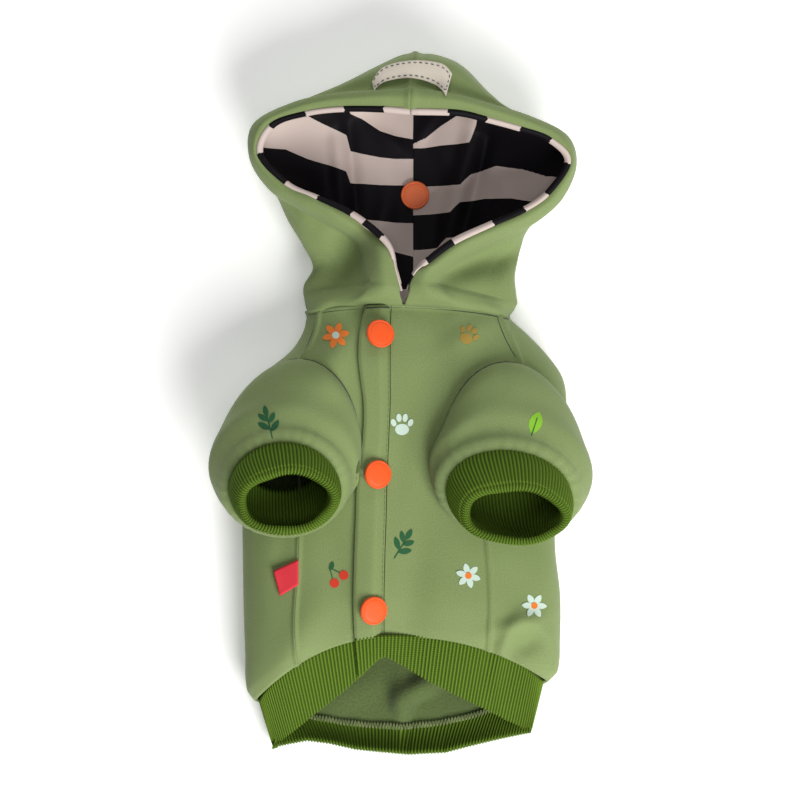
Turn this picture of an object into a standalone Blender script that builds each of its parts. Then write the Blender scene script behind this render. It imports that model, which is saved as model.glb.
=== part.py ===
"""Small dog hoodie, lying on its back with the belly side up. Metres, +Z up, hood towards +Y.

The origin lies on the surface that the hoodie rests on, in the middle of its outline.
"""

import math

import bmesh
import bpy
import numpy as np
from mathutils import Vector
from mathutils.bvhtree import BVHTree

# Body, from the neck seam to the hem seam. The powers say how square the outline of a cross-section is:
# 1 is an ellipse, and less is squarer. SIDE_SAG says how fast the front's lower edge falls to the sides.
NECK_Y = 0.045
NECK_DROP_LEFT = 0.003
NECK_DROP_RIGHT = 0.005
FRONT_LENGTH = 0.155
LEFT_LENGTH = 0.182
RIGHT_LENGTH = 0.171
BACK_LENGTH = 0.197
BODY_HALF = 0.074
CHEST_RISE = 0.042
BODY_WALL = 0.0018
BELLY_POWER = 0.86
SIDE_SAG = 2.3
BACK_DEPTH = 1.12
BACK_POWER = 0.6

# Hem band, a doubled strip of rib
HEM_WIDTH_FRONT = 0.0095
HEM_WIDTH_LEFT = 0.022
HEM_WIDTH_RIGHT = 0.0245
HEM_WIDTH_BACK = 0.014
HEM_WALL = 0.0028
HEM_DROP = 0.10
HEM_CURL = 0.14
HEM_PULL = 0.13
HEM_SPAN = 0.92
HEM_TURN = 0.5
HEM_FRONT_POWER = 1.2
HEM_BACK_POWER = 2.0

# Placket and snaps
PLACKET_WALL = 0.0026
SNAP_DIAMETER = 0.014
SNAP_THICK = 0.0021
SNAP_BACK_DIAMETER = 0.0115
SNAP_BACK_THICK = 0.0011

# Sleeves and cuffs
SLEEVE_WALL = 0.0018
ARMHOLE_HALF_WIDTH = 0.0262
ARMHOLE_HALF_LENGTH = 0.036
CUFF_HALF = 0.0228
CUFF_WALL = 0.0036
CUFF_RISE = 0.0645
SLEEVE_OUTWARD = 0.026
SLEEVE_FREE_REACH = 0.028
SLEEVE_APPROACH = 0.010
SLEEVE_BLOUSE = 0.010
SLEEVE_ROOT = 1.05
SLEEVE_CLIMB = 0.36

# Hood, from the neck seam to the crown
HOOD_LENGTH = 0.120
HOOD_HALF = 0.0765
HOOD_RISE = 0.050
HOOD_WALL = 0.0020
LINING_WALL = 0.0011

# Labels
LABEL_WIDTH = 0.036
LABEL_HEIGHT = 0.0085
LABEL_ARCH = 0.0060
LABEL_WALL = 0.0007
LABEL_LIFT = 0.0008
LABEL_ACROSS = 0.090
LABEL_ALONG = 0.905
TAG_LENGTH = 0.0108
TAG_WIDTH = 0.0118
TAG_WALL = 0.0009
TAG_SLOPE = 0.24
TAG_ACROSS = -0.692
TAG_ALONG = 0.807

# Clearances
SEAM_GAP = 0.0003
LAY_GAP = 0.0005
HEM_GAP = 0.0007
SEAM_ALLOWANCE = 0.0015

# Mesh fineness
BODY_ROWS = 15
BACK_COLUMNS = 26
FRONT_COLUMNS = 8
HEM_ROWS = 3
HOOD_ROWS = 16
HOOD_COLUMNS = 13
ROUND_STEPS = 24
SLEEVE_ROWS = 6
LAP_STEPS = 4

# Down: share of the way from neck seam to hem seam. Left, right: outline, as shares of BODY_HALF.
# Rise: height of the belly as a share of CHEST_RISE. Side: height of the outline as a share of rise.
# Seams and placket edges: places across, as shares of BODY_HALF.
BODY_COLUMNS = (
    "down",
    "left",
    "right",
    "rise",
    "side",
    "seam_left",
    "lap_left",
    "lap_right",
    "seam_right",
)
BODY_TABLE = (
    (0.00, 0.57, 0.70, 0.90, 0.46, -0.490, -0.205, -0.040, 0.640),
    (0.05, 0.60, 0.80, 0.94, 0.44, -0.510, -0.230, -0.045, 0.690),
    (0.10, 0.68, 0.90, 0.97, 0.42, -0.550, -0.245, -0.047, 0.740),
    (0.16, 0.86, 1.01, 1.00, 0.40, -0.640, -0.248, -0.047, 0.780),
    (0.22, 0.97, 1.07, 1.00, 0.40, -0.640, -0.235, -0.047, 0.760),
    (0.30, 1.00, 1.06, 0.99, 0.40, -0.630, -0.215, -0.047, 0.700),
    (0.40, 0.99, 1.03, 0.97, 0.42, -0.625, -0.220, -0.055, 0.620),
    (0.52, 0.985, 1.00, 0.95, 0.42, -0.620, -0.255, -0.066, 0.550),
    (0.64, 0.98, 1.00, 0.95, 0.42, -0.618, -0.265, -0.072, 0.555),
    (0.76, 0.975, 1.03, 0.96, 0.42, -0.628, -0.275, -0.080, 0.575),
    (0.88, 0.965, 1.03, 0.96, 0.40, -0.645, -0.280, -0.085, 0.585),
    (1.00, 0.92, 0.95, 0.86, 0.36, -0.630, -0.270, -0.085, 0.570),
)

# Folds of the body. Across, along: middle of the fold as shares of BODY_HALF and of FRONT_LENGTH from
# the neck. Turn: its direction in degrees from +X. Long, wide: half sizes as shares of BODY_HALF.
# Lift: share of CHEST_RISE.
FOLD_COLUMNS = ("across", "along", "turn", "long", "wide", "lift")
FOLD_TABLE = (
    (-0.66, 1.00, 62, 0.30, 0.14, 0.07),
    (0.72, 0.97, 38, 0.30, 0.07, 0.06),
    (0.80, 0.86, 40, 0.26, 0.06, 0.05),
    (0.25, 0.12, 100, 0.30, 0.12, -0.05),
    (-0.38, 0.10, 75, 0.26, 0.10, 0.05),
    (0.10, 0.60, 84, 0.45, 0.12, -0.04),
    (0.40, 0.80, 95, 0.50, 0.20, 0.03),
)

# Hood halves, a row for each line from the rim's edge round the outside to the seam at the back.
# Way: place along the rim from the neck (0) to the crown (1). Across: shares of HOOD_HALF.
# Along: shares of HOOD_LENGTH from the neck seam. High: shares of HOOD_RISE.
HOOD_COLUMNS_NAMED = (
    "way",
    "edge_across",
    "edge_along",
    "edge_high",
    "band_across",
    "band_along",
    "band_high",
    "wide_across",
    "wide_along",
    "wide_high",
)
HOOD_LEFT_TABLE = (
    (0.00, 0.030, 0.018, 0.86, -0.130, 0.012, 0.86, -0.546, 0.004, 0.36),
    (0.10, -0.010, 0.110, 0.88, -0.180, 0.125, 0.83, -0.575, 0.080, 0.36),
    (0.19, -0.070, 0.222, 0.88, -0.230, 0.240, 0.80, -0.520, 0.150, 0.36),
    (0.30, -0.296, 0.343, 0.84, -0.420, 0.320, 0.74, -0.580, 0.235, 0.36),
    (0.40, -0.510, 0.411, 0.80, -0.620, 0.385, 0.70, -0.665, 0.330, 0.36),
    (0.49, -0.693, 0.468, 0.76, -0.785, 0.450, 0.66, -0.715, 0.420, 0.34),
    (0.58, -0.858, 0.586, 0.74, -0.905, 0.570, 0.62, -0.800, 0.560, 0.32),
    (0.67, -0.780, 0.700, 0.78, -0.880, 0.705, 0.66, -0.790, 0.720, 0.30),
    (0.76, -0.565, 0.746, 0.86, -0.630, 0.785, 0.80, -0.575, 0.800, 0.28),
    (0.85, -0.333, 0.763, 0.92, -0.370, 0.815, 0.92, -0.310, 0.875, 0.26),
    (0.93, -0.089, 0.763, 0.96, -0.110, 0.825, 0.98, -0.090, 0.950, 0.26),
    (1.00, 0.076, 0.756, 0.96, 0.082, 0.830, 0.99, 0.109, 0.990, 0.26),
)
HOOD_RIGHT_TABLE = (
    (0.00, 0.044, 0.018, 0.86, 0.200, 0.000, 0.84, 0.711, -0.040, 0.36),
    (0.10, 0.107, 0.112, 0.88, 0.260, 0.120, 0.83, 0.705, 0.040, 0.36),
    (0.18, 0.198, 0.160, 0.88, 0.360, 0.170, 0.80, 0.720, 0.110, 0.36),
    (0.27, 0.351, 0.230, 0.84, 0.490, 0.215, 0.76, 0.735, 0.170, 0.36),
    (0.38, 0.589, 0.304, 0.80, 0.690, 0.270, 0.72, 0.755, 0.235, 0.36),
    (0.48, 0.785, 0.362, 0.76, 0.875, 0.335, 0.66, 0.780, 0.300, 0.34),
    (0.56, 0.937, 0.432, 0.74, 1.016, 0.421, 0.62, 0.900, 0.400, 0.32),
    (0.64, 1.059, 0.560, 0.74, 1.096, 0.548, 0.62, 0.990, 0.545, 0.30),
    (0.72, 0.937, 0.646, 0.78, 1.035, 0.660, 0.68, 0.930, 0.680, 0.28),
    (0.80, 0.754, 0.687, 0.84, 0.800, 0.733, 0.78, 0.705, 0.750, 0.27),
    (0.87, 0.546, 0.724, 0.90, 0.560, 0.775, 0.90, 0.545, 0.840, 0.26),
    (0.93, 0.388, 0.748, 0.94, 0.385, 0.805, 0.96, 0.370, 0.935, 0.26),
    (1.00, 0.076, 0.756, 0.96, 0.082, 0.830, 0.99, 0.109, 0.990, 0.26),
)
HOOD_MEETING = 0.037
HOOD_SPINE_ACROSS = 0.06
HOOD_SPINE_END = 0.86
HOOD_CREST = 0.05
HOOD_FLOOR_INSET = 0.22
HOOD_FLOOR_RISE = 0.03
HOOD_FLAT_INSET = 0.45

# Snaps down the placket: across as a share of BODY_HALF, along as a share of FRONT_LENGTH from the neck.
SNAP_PLACES = ((-0.1055, 0.090), (-0.1210, 0.512), (-0.1475, 0.920))
HOOD_SNAP_ACROSS = 0.108
HOOD_SNAP_ALONG = 0.441

# Arms. Armhole, seam and rim: middles across as shares of BODY_HALF, and along from the neck as shares
# of FRONT_LENGTH. High: shares of CUFF_RISE. Wide and tall: half sizes as shares of CUFF_HALF. The turn,
# the lean and the roll are in degrees.
ARM_COLUMNS = (
    "side",
    "hole_across",
    "hole_along",
    "hole_turn",
    "seam_across",
    "seam_along",
    "seam_high",
    "seam_wide",
    "seam_tall",
    "seam_lean",
    "rim_across",
    "rim_along",
    "rim_high",
    "rim_wide",
    "rim_tall",
    "rim_lean",
    "roll",
)
ARM_TABLE = (
    (-1, -0.600, 0.395, 6, -0.709, 0.551, 0.80, 1.14, 1.06, 27, -0.690, 0.594, 1.0, 1.02, 0.85, 37, 4),
    (1, 0.655, 0.405, -8, 0.694, 0.566, 0.80, 1.32, 1.00, 27, 0.732, 0.634, 1.0, 1.10, 0.79, 37, -10),
)


def clear_scene():
    for obj in list(bpy.data.objects):
        bpy.data.objects.remove(obj, do_unlink=True)


def make_collection(name, hidden=False):
    collection = bpy.data.collections.new(name)
    bpy.context.scene.collection.children.link(collection)
    collection.hide_render = hidden
    return collection


def cloth_material(name, colour, roughness, metallic=0.0):
    material = bpy.data.materials.new(name)
    material.use_nodes = True
    shader = material.node_tree.nodes["Principled BSDF"]
    shader.inputs["Base Color"].default_value = (*colour, 1.0)
    shader.inputs["Roughness"].default_value = roughness
    shader.inputs["Metallic"].default_value = metallic
    return material


def smooth_rows(table, names, place):
    """One row of a table at any place, as a dict, on a smooth curve through the rows."""
    keys = [row[0] for row in table]
    last = len(table) - 2
    index = min(max(int(np.searchsorted(keys, place, side="right")) - 1, 0), last)
    start, end = table[index], table[index + 1]
    before = table[max(index - 1, 0)]
    after = table[min(index + 2, len(table) - 1)]
    width = end[0] - start[0]
    share = min(max((place - start[0]) / width, 0.0), 1.0)
    square, cube = share * share, share * share * share
    found = {}
    for column, name in enumerate(names):
        slope_start = width * (end[column] - before[column]) / (end[0] - before[0])
        slope_end = width * (after[column] - start[column]) / (after[0] - start[0])
        found[name] = (
            (2 * cube - 3 * square + 1) * start[column]
            + (cube - 2 * square + share) * slope_start
            + (3 * square - 2 * cube) * end[column]
            + (cube - square) * slope_end
        )
    return found


def points_at(points, shares):
    """Points along a line of points, at shares of its length."""
    line = np.array([tuple(point) for point in points])
    steps = np.linalg.norm(np.diff(line, axis=0), axis=1)
    travelled = np.concatenate([[0.0], np.cumsum(steps)])
    found = []
    for wanted in np.array(shares) * travelled[-1]:
        found.append(Vector([float(np.interp(wanted, travelled, line[:, axis])) for axis in range(3)]))
    return found


def spread_along(points, count):
    """Points at even steps along a line of points."""
    return points_at(points, np.linspace(0.0, 1.0, count))


def curve_through(points, count):
    """Smooth line through a few points, at even steps."""
    line = []
    last = len(points) - 1
    for index in range(last):
        before = points[max(index - 1, 0)]
        after = points[min(index + 2, last)]
        start, end = points[index], points[index + 1]
        for step in range(12):
            share = step / 12
            square, cube = share * share, share * share * share
            line.append(
                0.5
                * (
                    2 * start
                    + (end - before) * share
                    + (2 * before - 5 * start + 4 * end - after) * square
                    + (3 * start - before - 3 * end + after) * cube
                )
            )
    line.append(points[-1])
    return spread_along(line, count)


def sheet_mesh(
    name, grid, material, collection, wall, outward=-1.0, closed=False, flip=False, even=True
):
    """A cloth wall from rows of points: its outer face, or its inner face where outward is 1."""
    mesh = bpy.data.meshes.new(name)
    working = bmesh.new()
    rows = []
    for line in grid:
        points = reversed(line) if flip else line
        rows.append([working.verts.new(point) for point in points])
    for row, following in zip(rows, rows[1:]):
        count = len(row) if closed else len(row) - 1
        for index in range(count):
            after = (index + 1) % len(row)
            working.faces.new((row[index], row[after], following[after], following[index]))
    working.to_mesh(mesh)
    working.free()
    obj = bpy.data.objects.new(name, mesh)
    collection.objects.link(obj)
    mesh.materials.append(material)
    mesh.shade_smooth()
    solid = obj.modifiers.new("Wall", "SOLIDIFY")
    solid.thickness = wall
    solid.offset = outward
    solid.use_even_offset = even
    solid.use_quality_normals = True
    return obj


def fold_lift(across, along):
    """Height that the folds add at a place on the belly side."""
    lift = 0.0
    for row in FOLD_TABLE:
        fold = dict(zip(FOLD_COLUMNS, row))
        turn = math.radians(fold["turn"])
        dx = across - fold["across"] * BODY_HALF
        dy = along - (NECK_Y - fold["along"] * FRONT_LENGTH)
        length = (dx * math.cos(turn) + dy * math.sin(turn)) / (fold["long"] * BODY_HALF)
        width = (dy * math.cos(turn) - dx * math.sin(turn)) / (fold["wide"] * BODY_HALF)
        lift += fold["lift"] * CHEST_RISE * math.exp(-length * length - width * width)
    return lift


def body_point(down, turn, proud=0.0):
    """A point of the body's outer face. Turn 0 is the right outline, a quarter turn is the belly."""
    row = smooth_rows(BODY_TABLE, BODY_COLUMNS, down)
    across, up = math.cos(turn), math.sin(turn)
    out = abs(across) ** BELLY_POWER
    right = across > 0
    half = row["right"] if right else row["left"]
    x = math.copysign(out * half * BODY_HALF, across)
    rise = row["rise"] * CHEST_RISE
    side = row["side"] * rise
    side_length = RIGHT_LENGTH if right else LEFT_LENGTH
    side_drop = NECK_DROP_RIGHT if right else NECK_DROP_LEFT
    neck = NECK_Y - side_drop * out * out
    if up >= 0:
        length = FRONT_LENGTH + (side_length - FRONT_LENGTH) * out**SIDE_SAG
        z = side + (rise - side) * up**BELLY_POWER
    else:
        length = side_length + (BACK_LENGTH - side_length) * (1 - out * out)
        z = max(0.0, side * (1 - BACK_DEPTH * (-up) ** BACK_POWER))
    y = neck - down * length
    if up > 0:
        z += fold_lift(x, y) * min(1.0, 3 * up)
    return Vector((x, y, z + proud))


def turn_at(down, across):
    """The turn on the belly side at which the body's outer face has this place across."""
    row = smooth_rows(BODY_TABLE, BODY_COLUMNS, down)
    half = (row["right"] if across > 0 else row["left"]) * BODY_HALF
    share = min(abs(across) / half, 0.999) ** (1 / BELLY_POWER)
    angle = math.acos(share)
    return angle if across > 0 else math.pi - angle


def body_columns(down, start, end, count, proud=0.0):
    fine = [body_point(down, start + (end - start) * step / 160, proud) for step in range(161)]
    return spread_along(fine, count)


def panel_grid(edge_from, edge_to, count, proud=0.0, back=False):
    """Rows of points for a panel between two seams, which are named columns of the body's table."""
    grid = []
    for step in range(BODY_ROWS):
        down = step / (BODY_ROWS - 1)
        row = smooth_rows(BODY_TABLE, BODY_COLUMNS, down)
        start = turn_at(down, row[edge_from] * BODY_HALF)
        end = turn_at(down, row[edge_to] * BODY_HALF)
        if back:
            end += 2 * math.pi
        line = body_columns(down, start, end, count * 12 + 1, proud)
        travelled = sum((b - a).length for a, b in zip(line, line[1:]))
        trim = 0.5 * SEAM_GAP / travelled
        border = SEAM_ALLOWANCE / travelled
        shares = np.linspace(trim + border, 1 - trim - border, count - 1)
        grid.append(points_at(line, (trim, *shares, 1 - trim)))
    return grid


def surface_tree(grids):
    points = []
    faces = []
    for grid in grids:
        start = len(points)
        width = len(grid[0])
        points += [point for row in grid for point in row]
        for row in range(len(grid) - 1):
            for column in range(width - 1):
                corner = start + row * width + column
                faces.append((corner, corner + 1, corner + width + 1, corner + width))
    return BVHTree.FromPolygons(points, faces)


def height_on(tree, across, along, otherwise=0.0):
    hit = tree.ray_cast(Vector((across, along, 0.5)), Vector((0, 0, -1)))
    return hit[0].z if hit[0] is not None else otherwise


def normal_on(tree, across, along):
    hit = tree.ray_cast(Vector((across, along, 0.5)), Vector((0, 0, -1)))
    if hit[0] is None:
        return Vector((0, 0, 1))
    return hit[1] if hit[1].z > 0 else -hit[1]


def hem_seam():
    """The body's lower edge, from under the placket round the back to the placket's free edge.

    With it come the directions in which the cloth arrives there, and the place of the lap's start.
    """
    lines = []
    for place in (-1, -2):
        left, right, lap = (list(reversed(rows[place])) for rows in (left_rows, right_rows, placket_rows))
        lines.append(left + list(back_rows[place][1:-1]) + right + lap[1:])
    line, before = lines
    lap_start = len(line) - len(placket_rows[-1]) + 1
    return line, [(end - start).normalized() for start, end in zip(before, line)], lap_start


def hem_grid():
    """The rib band, a strip whose right end lies on top of its left end at the placket."""
    line, ways, lap_start = hem_seam()
    lap_rise = HEM_WALL + LAY_GAP
    grid = []
    for step in range(HEM_ROWS + 2):
        share = max(step - 1, 0) / HEM_ROWS
        straight = SEAM_ALLOWANCE if step else 0.0
        row = []
        for index, (point, way) in enumerate(zip(line, ways)):
            out = min(abs(point.x) / (HEM_SPAN * BODY_HALF), 1.0)
            on_top = point.z > HEM_TURN * CHEST_RISE * (1 - HEM_TURN * out)
            side_width = HEM_WIDTH_RIGHT if point.x > 0 else HEM_WIDTH_LEFT
            middle_width = HEM_WIDTH_FRONT if on_top else HEM_WIDTH_BACK
            power = HEM_FRONT_POWER if on_top else HEM_BACK_POWER
            width = middle_width + (side_width - middle_width) * out**power
            drop = HEM_DROP * CHEST_RISE * share if on_top else 0.0
            curl = 0.0 if on_top else HEM_CURL * CHEST_RISE * share * share * (1 - out**3)
            pull = 1 - HEM_PULL * share * share * out
            climbed = min(max((index - lap_start + LAP_STEPS) / LAP_STEPS, 0.0), 1.0)
            lift = lap_rise * climbed if index < lap_start else lap_rise - LAY_GAP - PLACKET_WALL
            start = point + way * (HEM_GAP + straight)
            high = max(0.0, start.z - drop + curl + lift)
            row.append(Vector((start.x * pull, start.y - share * width, high)))
        grid.append(row)
    return grid


def hood_place(row, name):
    across = row[name + "_across"] * HOOD_HALF
    along = row[name + "_along"] * HOOD_LENGTH
    return Vector((across, along, row[name + "_high"] * HOOD_RISE))


def hood_line(row):
    """One line of a hood half: rim edge, crest, band's lower edge, widest place, floor, back seam."""
    edge = hood_place(row, "edge")
    band = hood_place(row, "band")
    wide = hood_place(row, "wide")
    spine = Vector((HOOD_SPINE_ACROSS * HOOD_HALF, row["way"] * HOOD_SPINE_END * HOOD_LENGTH, 0.0))
    crest = edge.lerp(band, 0.5) + Vector((0, 0, HOOD_CREST * HOOD_RISE))
    floor = wide.lerp(spine, HOOD_FLOOR_INSET)
    floor.z = HOOD_FLOOR_RISE * HOOD_RISE
    inner = wide.lerp(spine, HOOD_FLAT_INSET)
    inner.z = 0.0
    points = [edge, crest, band, wide, floor, inner, spine]
    return [point + Vector((0, NECK_Y + SEAM_GAP, 0)) for point in points]


def neck_line(side, count, inward=0.0):
    """Half of the neck seam, from the middle of the belly side round to the middle of the back."""
    start = turn_at(0.0, HOOD_MEETING * HOOD_HALF + side * LAY_GAP)
    end = -math.pi / 2 if side > 0 else 1.5 * math.pi
    fine = [body_point(0.0, start + (end - start) * step / 120) for step in range(121)]
    line = spread_along(fine, count)
    moved = []
    for index, point in enumerate(line):
        ahead = line[min(index + 1, count - 1)] - line[max(index - 1, 0)]
        facing_in = Vector((-side * ahead.z, 0, side * ahead.x)).normalized() * -1
        moved.append(point + facing_in * inward + Vector((0, LAY_GAP, 0)))
    return moved


def hood_grid(table, side):
    collar = neck_line(side, HOOD_COLUMNS + 1)
    grid = [collar, [point + Vector((0, SEAM_ALLOWANCE, 0)) for point in collar]]
    for step in range(1, HOOD_ROWS + 1):
        row = smooth_rows(table, HOOD_COLUMNS_NAMED, step / HOOD_ROWS)
        line = curve_through(hood_line(row), HOOD_COLUMNS + 1)
        grid.append([Vector((point.x, point.y, max(point.z, 0.0))) for point in line])
    return grid


def part_seam(grid, side):
    """Draws a hood half back from the centre seam by half a gap, with a straight allowance beside it."""
    half_gap = Vector((side * 0.5 * SEAM_GAP, 0, 0))
    allowance = Vector((side * SEAM_ALLOWANCE, 0, 0))
    parted = [[*row[:-1], row[-1] + half_gap] for row in grid[:-1]]
    seam = [point + half_gap for point in grid[-1]]
    corner = seam[-1].lerp(parted[-1][-1], 0.2)
    parted.append([point + allowance for point in seam[:-1]] + [corner])
    parted.append(seam)
    return parted


def lining_grid(table, side):
    """The lining hangs from the rim's edge, inside the outer cloth, and lies on the hood's back."""
    centre = Vector((0.10 * HOOD_HALF, 0.50 * HOOD_LENGTH + NECK_Y, 0))
    gap = HOOD_WALL + LAY_GAP
    collar = neck_line(side, HOOD_COLUMNS - 1, inward=gap)
    grid = [[point + Vector((0, SEAM_ALLOWANCE, 0)) for point in collar]]
    for step in range(2, HOOD_ROWS + 1):
        row = smooth_rows(table, HOOD_COLUMNS_NAMED, step / HOOD_ROWS)
        edge, _, _, wide, _, _, spine = hood_line(row)
        towards = centre - edge
        towards.z = 0
        towards.normalize()
        hem = edge + towards * 0.7 * gap + Vector((0, 0, -0.6 * gap))
        under = edge.lerp(wide, 0.30) + towards * gap
        under.z = 0.62 * edge.z
        low = wide.lerp(spine, 0.26) + towards * 1.8 * gap
        low.z = 0.26 * edge.z
        base = wide.lerp(spine, 0.56)
        base.z = 2.4 * gap
        middle = Vector((spine.x, spine.y, 1.9 * gap))
        if row["way"] > 0.999:
            middle.y -= gap
        line = curve_through([hem, under, low, base, middle], HOOD_COLUMNS - 1)
        grid.append(line)
    return grid


def oval(centre, half_width, half_height, across, upward):
    points = []
    for step in range(ROUND_STEPS):
        angle = 2 * math.pi * step / ROUND_STEPS
        out = across * (half_width * math.cos(angle))
        points.append(centre + out + upward * (half_height * math.sin(angle)))
    return points


def cuff_oval(arm, share, inward=0.0):
    """A ring of the cuff's outer face, from its seam (0) to its rim (1), moved inwards. Also its axis."""
    mixed = {}
    for name in ("across", "along", "high", "wide", "tall", "lean"):
        mixed[name] = arm["seam_" + name] + (arm["rim_" + name] - arm["seam_" + name]) * share
    lean = math.radians(mixed["lean"])
    roll = math.radians(arm["roll"])
    axis = Vector((0, -math.sin(lean), math.cos(lean)))
    across = Vector((math.cos(roll), math.sin(roll), 0))
    across = (across - axis * across.dot(axis)).normalized()
    upward = axis.cross(across).normalized()
    along = NECK_Y - mixed["along"] * FRONT_LENGTH
    centre = Vector((mixed["across"] * BODY_HALF, along, mixed["high"] * CUFF_RISE))
    wide = mixed["wide"] * CUFF_HALF - inward
    tall = mixed["tall"] * CUFF_HALF - inward
    return oval(centre, wide, tall, across, upward), axis, centre


def armhole_outline(arm, wider=0.0):
    along = NECK_Y - arm["hole_along"] * FRONT_LENGTH
    centre = Vector((arm["hole_across"] * BODY_HALF, along, 0))
    turn = math.radians(arm["hole_turn"])
    across = Vector((math.cos(turn), math.sin(turn), 0))
    upward = Vector((-math.sin(turn), math.cos(turn), 0))
    return oval(centre, ARMHOLE_HALF_WIDTH + wider, ARMHOLE_HALF_LENGTH + wider, across, upward)


def sleeve_grid(arm, body_tree):
    """From the armhole up, out and over to the cuff's seam, bloused round the cuff."""
    seam, axis, seam_centre = cuff_oval(arm, 0.0)
    outline = armhole_outline(arm)
    middle = sum(outline, Vector()) / len(outline)
    grid = [[] for _ in range(SLEEVE_ROWS + 3)]
    for root, cuff_point in zip(outline, seam):
        height = height_on(body_tree, root.x, root.y)
        out = (root - middle).normalized()
        bottom = Vector((root.x, root.y, height - BODY_WALL))
        start = Vector((root.x, root.y, height + SLEEVE_ROOT * BODY_WALL))
        end = cuff_point - axis * LAY_GAP
        near_end = end - axis * SEAM_ALLOWANCE
        reach = (near_end - start).length
        freedom = min(1.0, reach / SLEEVE_FREE_REACH)
        outer_side = max(0.0, out.x * arm["side"])
        upper_side = max(0.0, out.y)
        swell = SLEEVE_OUTWARD * (0.20 + 0.80 * outer_side - 0.10 * upper_side) * freedom**2
        climb = min(SLEEVE_CLIMB * SLEEVE_FREE_REACH * (1 + upper_side), 0.4 * reach)
        first = start + out * swell + Vector((0, 0, climb))
        flare = (end - seam_centre).normalized()
        lower_side = max(0.0, -flare.y)
        blouse = SLEEVE_BLOUSE * freedom * (1 - 0.5 * lower_side)
        second = near_end - axis * min(SLEEVE_APPROACH, SLEEVE_CLIMB * reach) + flare * blouse
        grid[0].append(bottom)
        for step in range(SLEEVE_ROWS + 1):
            share = step / SLEEVE_ROWS
            rest = 1 - share
            grid[step + 1].append(
                start * rest**3
                + first * (3 * rest * rest * share)
                + second * (3 * rest * share * share)
                + near_end * share**3
            )
        grid[-1].append(end)
    return grid


def cuff_object(arm, name, material, collection):
    """A doubled tube of rib with a rolled rim, as one closed profile swept round its oval."""
    half = 0.5 * CUFF_WALL
    profile = [(0.0, 0.0, 0.0), (0.5, 0.0, 0.0)]
    for step in range(7):
        angle = math.pi * step / 6
        profile.append((1.0, half - half * math.cos(angle), half * math.sin(angle) - half))
    profile += [(0.5, CUFF_WALL, 0.0), (0.0, CUFF_WALL, 0.0)]
    mesh = bpy.data.meshes.new(name)
    working = bmesh.new()
    rings = []
    for share, inward, past in profile:
        loop, axis, _ = cuff_oval(arm, share, inward)
        rings.append([working.verts.new(point + axis * past) for point in loop])
    for index, ring in enumerate(rings):
        following = rings[(index + 1) % len(rings)]
        for step in range(ROUND_STEPS):
            after = (step + 1) % ROUND_STEPS
            working.faces.new((ring[step], ring[after], following[after], following[step]))
    bmesh.ops.recalc_face_normals(working, faces=working.faces)
    working.to_mesh(mesh)
    working.free()
    obj = bpy.data.objects.new(name, mesh)
    collection.objects.link(obj)
    mesh.materials.append(material)
    mesh.shade_smooth()
    return obj


def armhole_cutter(arm, name, collection):
    outline = armhole_outline(arm, wider=LAY_GAP)
    mesh = bpy.data.meshes.new(name)
    working = bmesh.new()
    low = 0.24 * CHEST_RISE
    high = 2.0 * CHEST_RISE
    bottom = working.faces.new([working.verts.new(Vector((p.x, p.y, low))) for p in outline])
    raised = bmesh.ops.extrude_face_region(working, geom=[bottom])
    moved = [item for item in raised["geom"] if isinstance(item, bmesh.types.BMVert)]
    bmesh.ops.translate(working, verts=moved, vec=(0, 0, high - low))
    bmesh.ops.recalc_face_normals(working, faces=working.faces)
    working.to_mesh(mesh)
    working.free()
    cutter = bpy.data.objects.new(name, mesh)
    collection.objects.link(cutter)
    cutter.hide_render = True
    cutter.display_type = "WIRE"
    return cutter


def cut_with(obj, cutter):
    cut = obj.modifiers.new("Armhole " + cutter.name, "BOOLEAN")
    cut.operation = "DIFFERENCE"
    cut.solver = "EXACT"
    cut.object = cutter


def snap_disc(name, diameter, thick, place, facing, material, collection, sides=16):
    """A turned disc with a rounded edge, standing on a place and facing along a direction."""
    radius = 0.5 * diameter
    bevel = 0.45 * thick
    mesh = bpy.data.meshes.new(name)
    working = bmesh.new()
    profile = (
        (radius - 0.3 * bevel, 0.0),
        (radius, 0.4 * thick),
        (radius - 0.6 * bevel, thick - 0.2 * bevel),
        (0.72 * radius, thick),
    )
    rings = []
    for out, high in profile:
        ring = []
        for step in range(sides):
            angle = 2 * math.pi * step / sides
            ring.append(working.verts.new((out * math.cos(angle), out * math.sin(angle), high)))
        rings.append(ring)
    for ring, following in zip(rings, rings[1:]):
        for step in range(sides):
            after = (step + 1) % sides
            working.faces.new((ring[step], ring[after], following[after], following[step]))
    working.faces.new(list(reversed(rings[0])))
    working.faces.new(rings[-1])
    bmesh.ops.recalc_face_normals(working, faces=working.faces)
    working.to_mesh(mesh)
    working.free()
    obj = bpy.data.objects.new(name, mesh)
    collection.objects.link(obj)
    obj.location = place
    obj.rotation_mode = "QUATERNION"
    obj.rotation_quaternion = Vector((0, 0, 1)).rotation_difference(facing)
    mesh.materials.append(material)
    mesh.shade_smooth()
    return obj


def draped_patch(name, place, size, arch, slope, columns, tree, wall, material, collection):
    """A small patch laid on a surface, its middle further along it than its two ends by the arch."""
    rows = 3
    grid = []
    for row in range(rows + 1):
        line = []
        for column in range(columns + 1):
            across = 2 * column / columns - 1
            x = place.x + 0.5 * size[0] * across
            y = place.y - arch * across * across + size[1] * (row / rows - 0.5)
            y += slope * size[0] * across
            facing = normal_on(tree, x, y)
            line.append(Vector((x, y, height_on(tree, x, y))) + facing * LABEL_LIFT)
        grid.append(line)
    return sheet_mesh(name, grid, material, collection, wall, outward=1.0)


clear_scene()
parts = make_collection("dog_hoodie")
cutters = make_collection("cutters", hidden=True)

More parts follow.
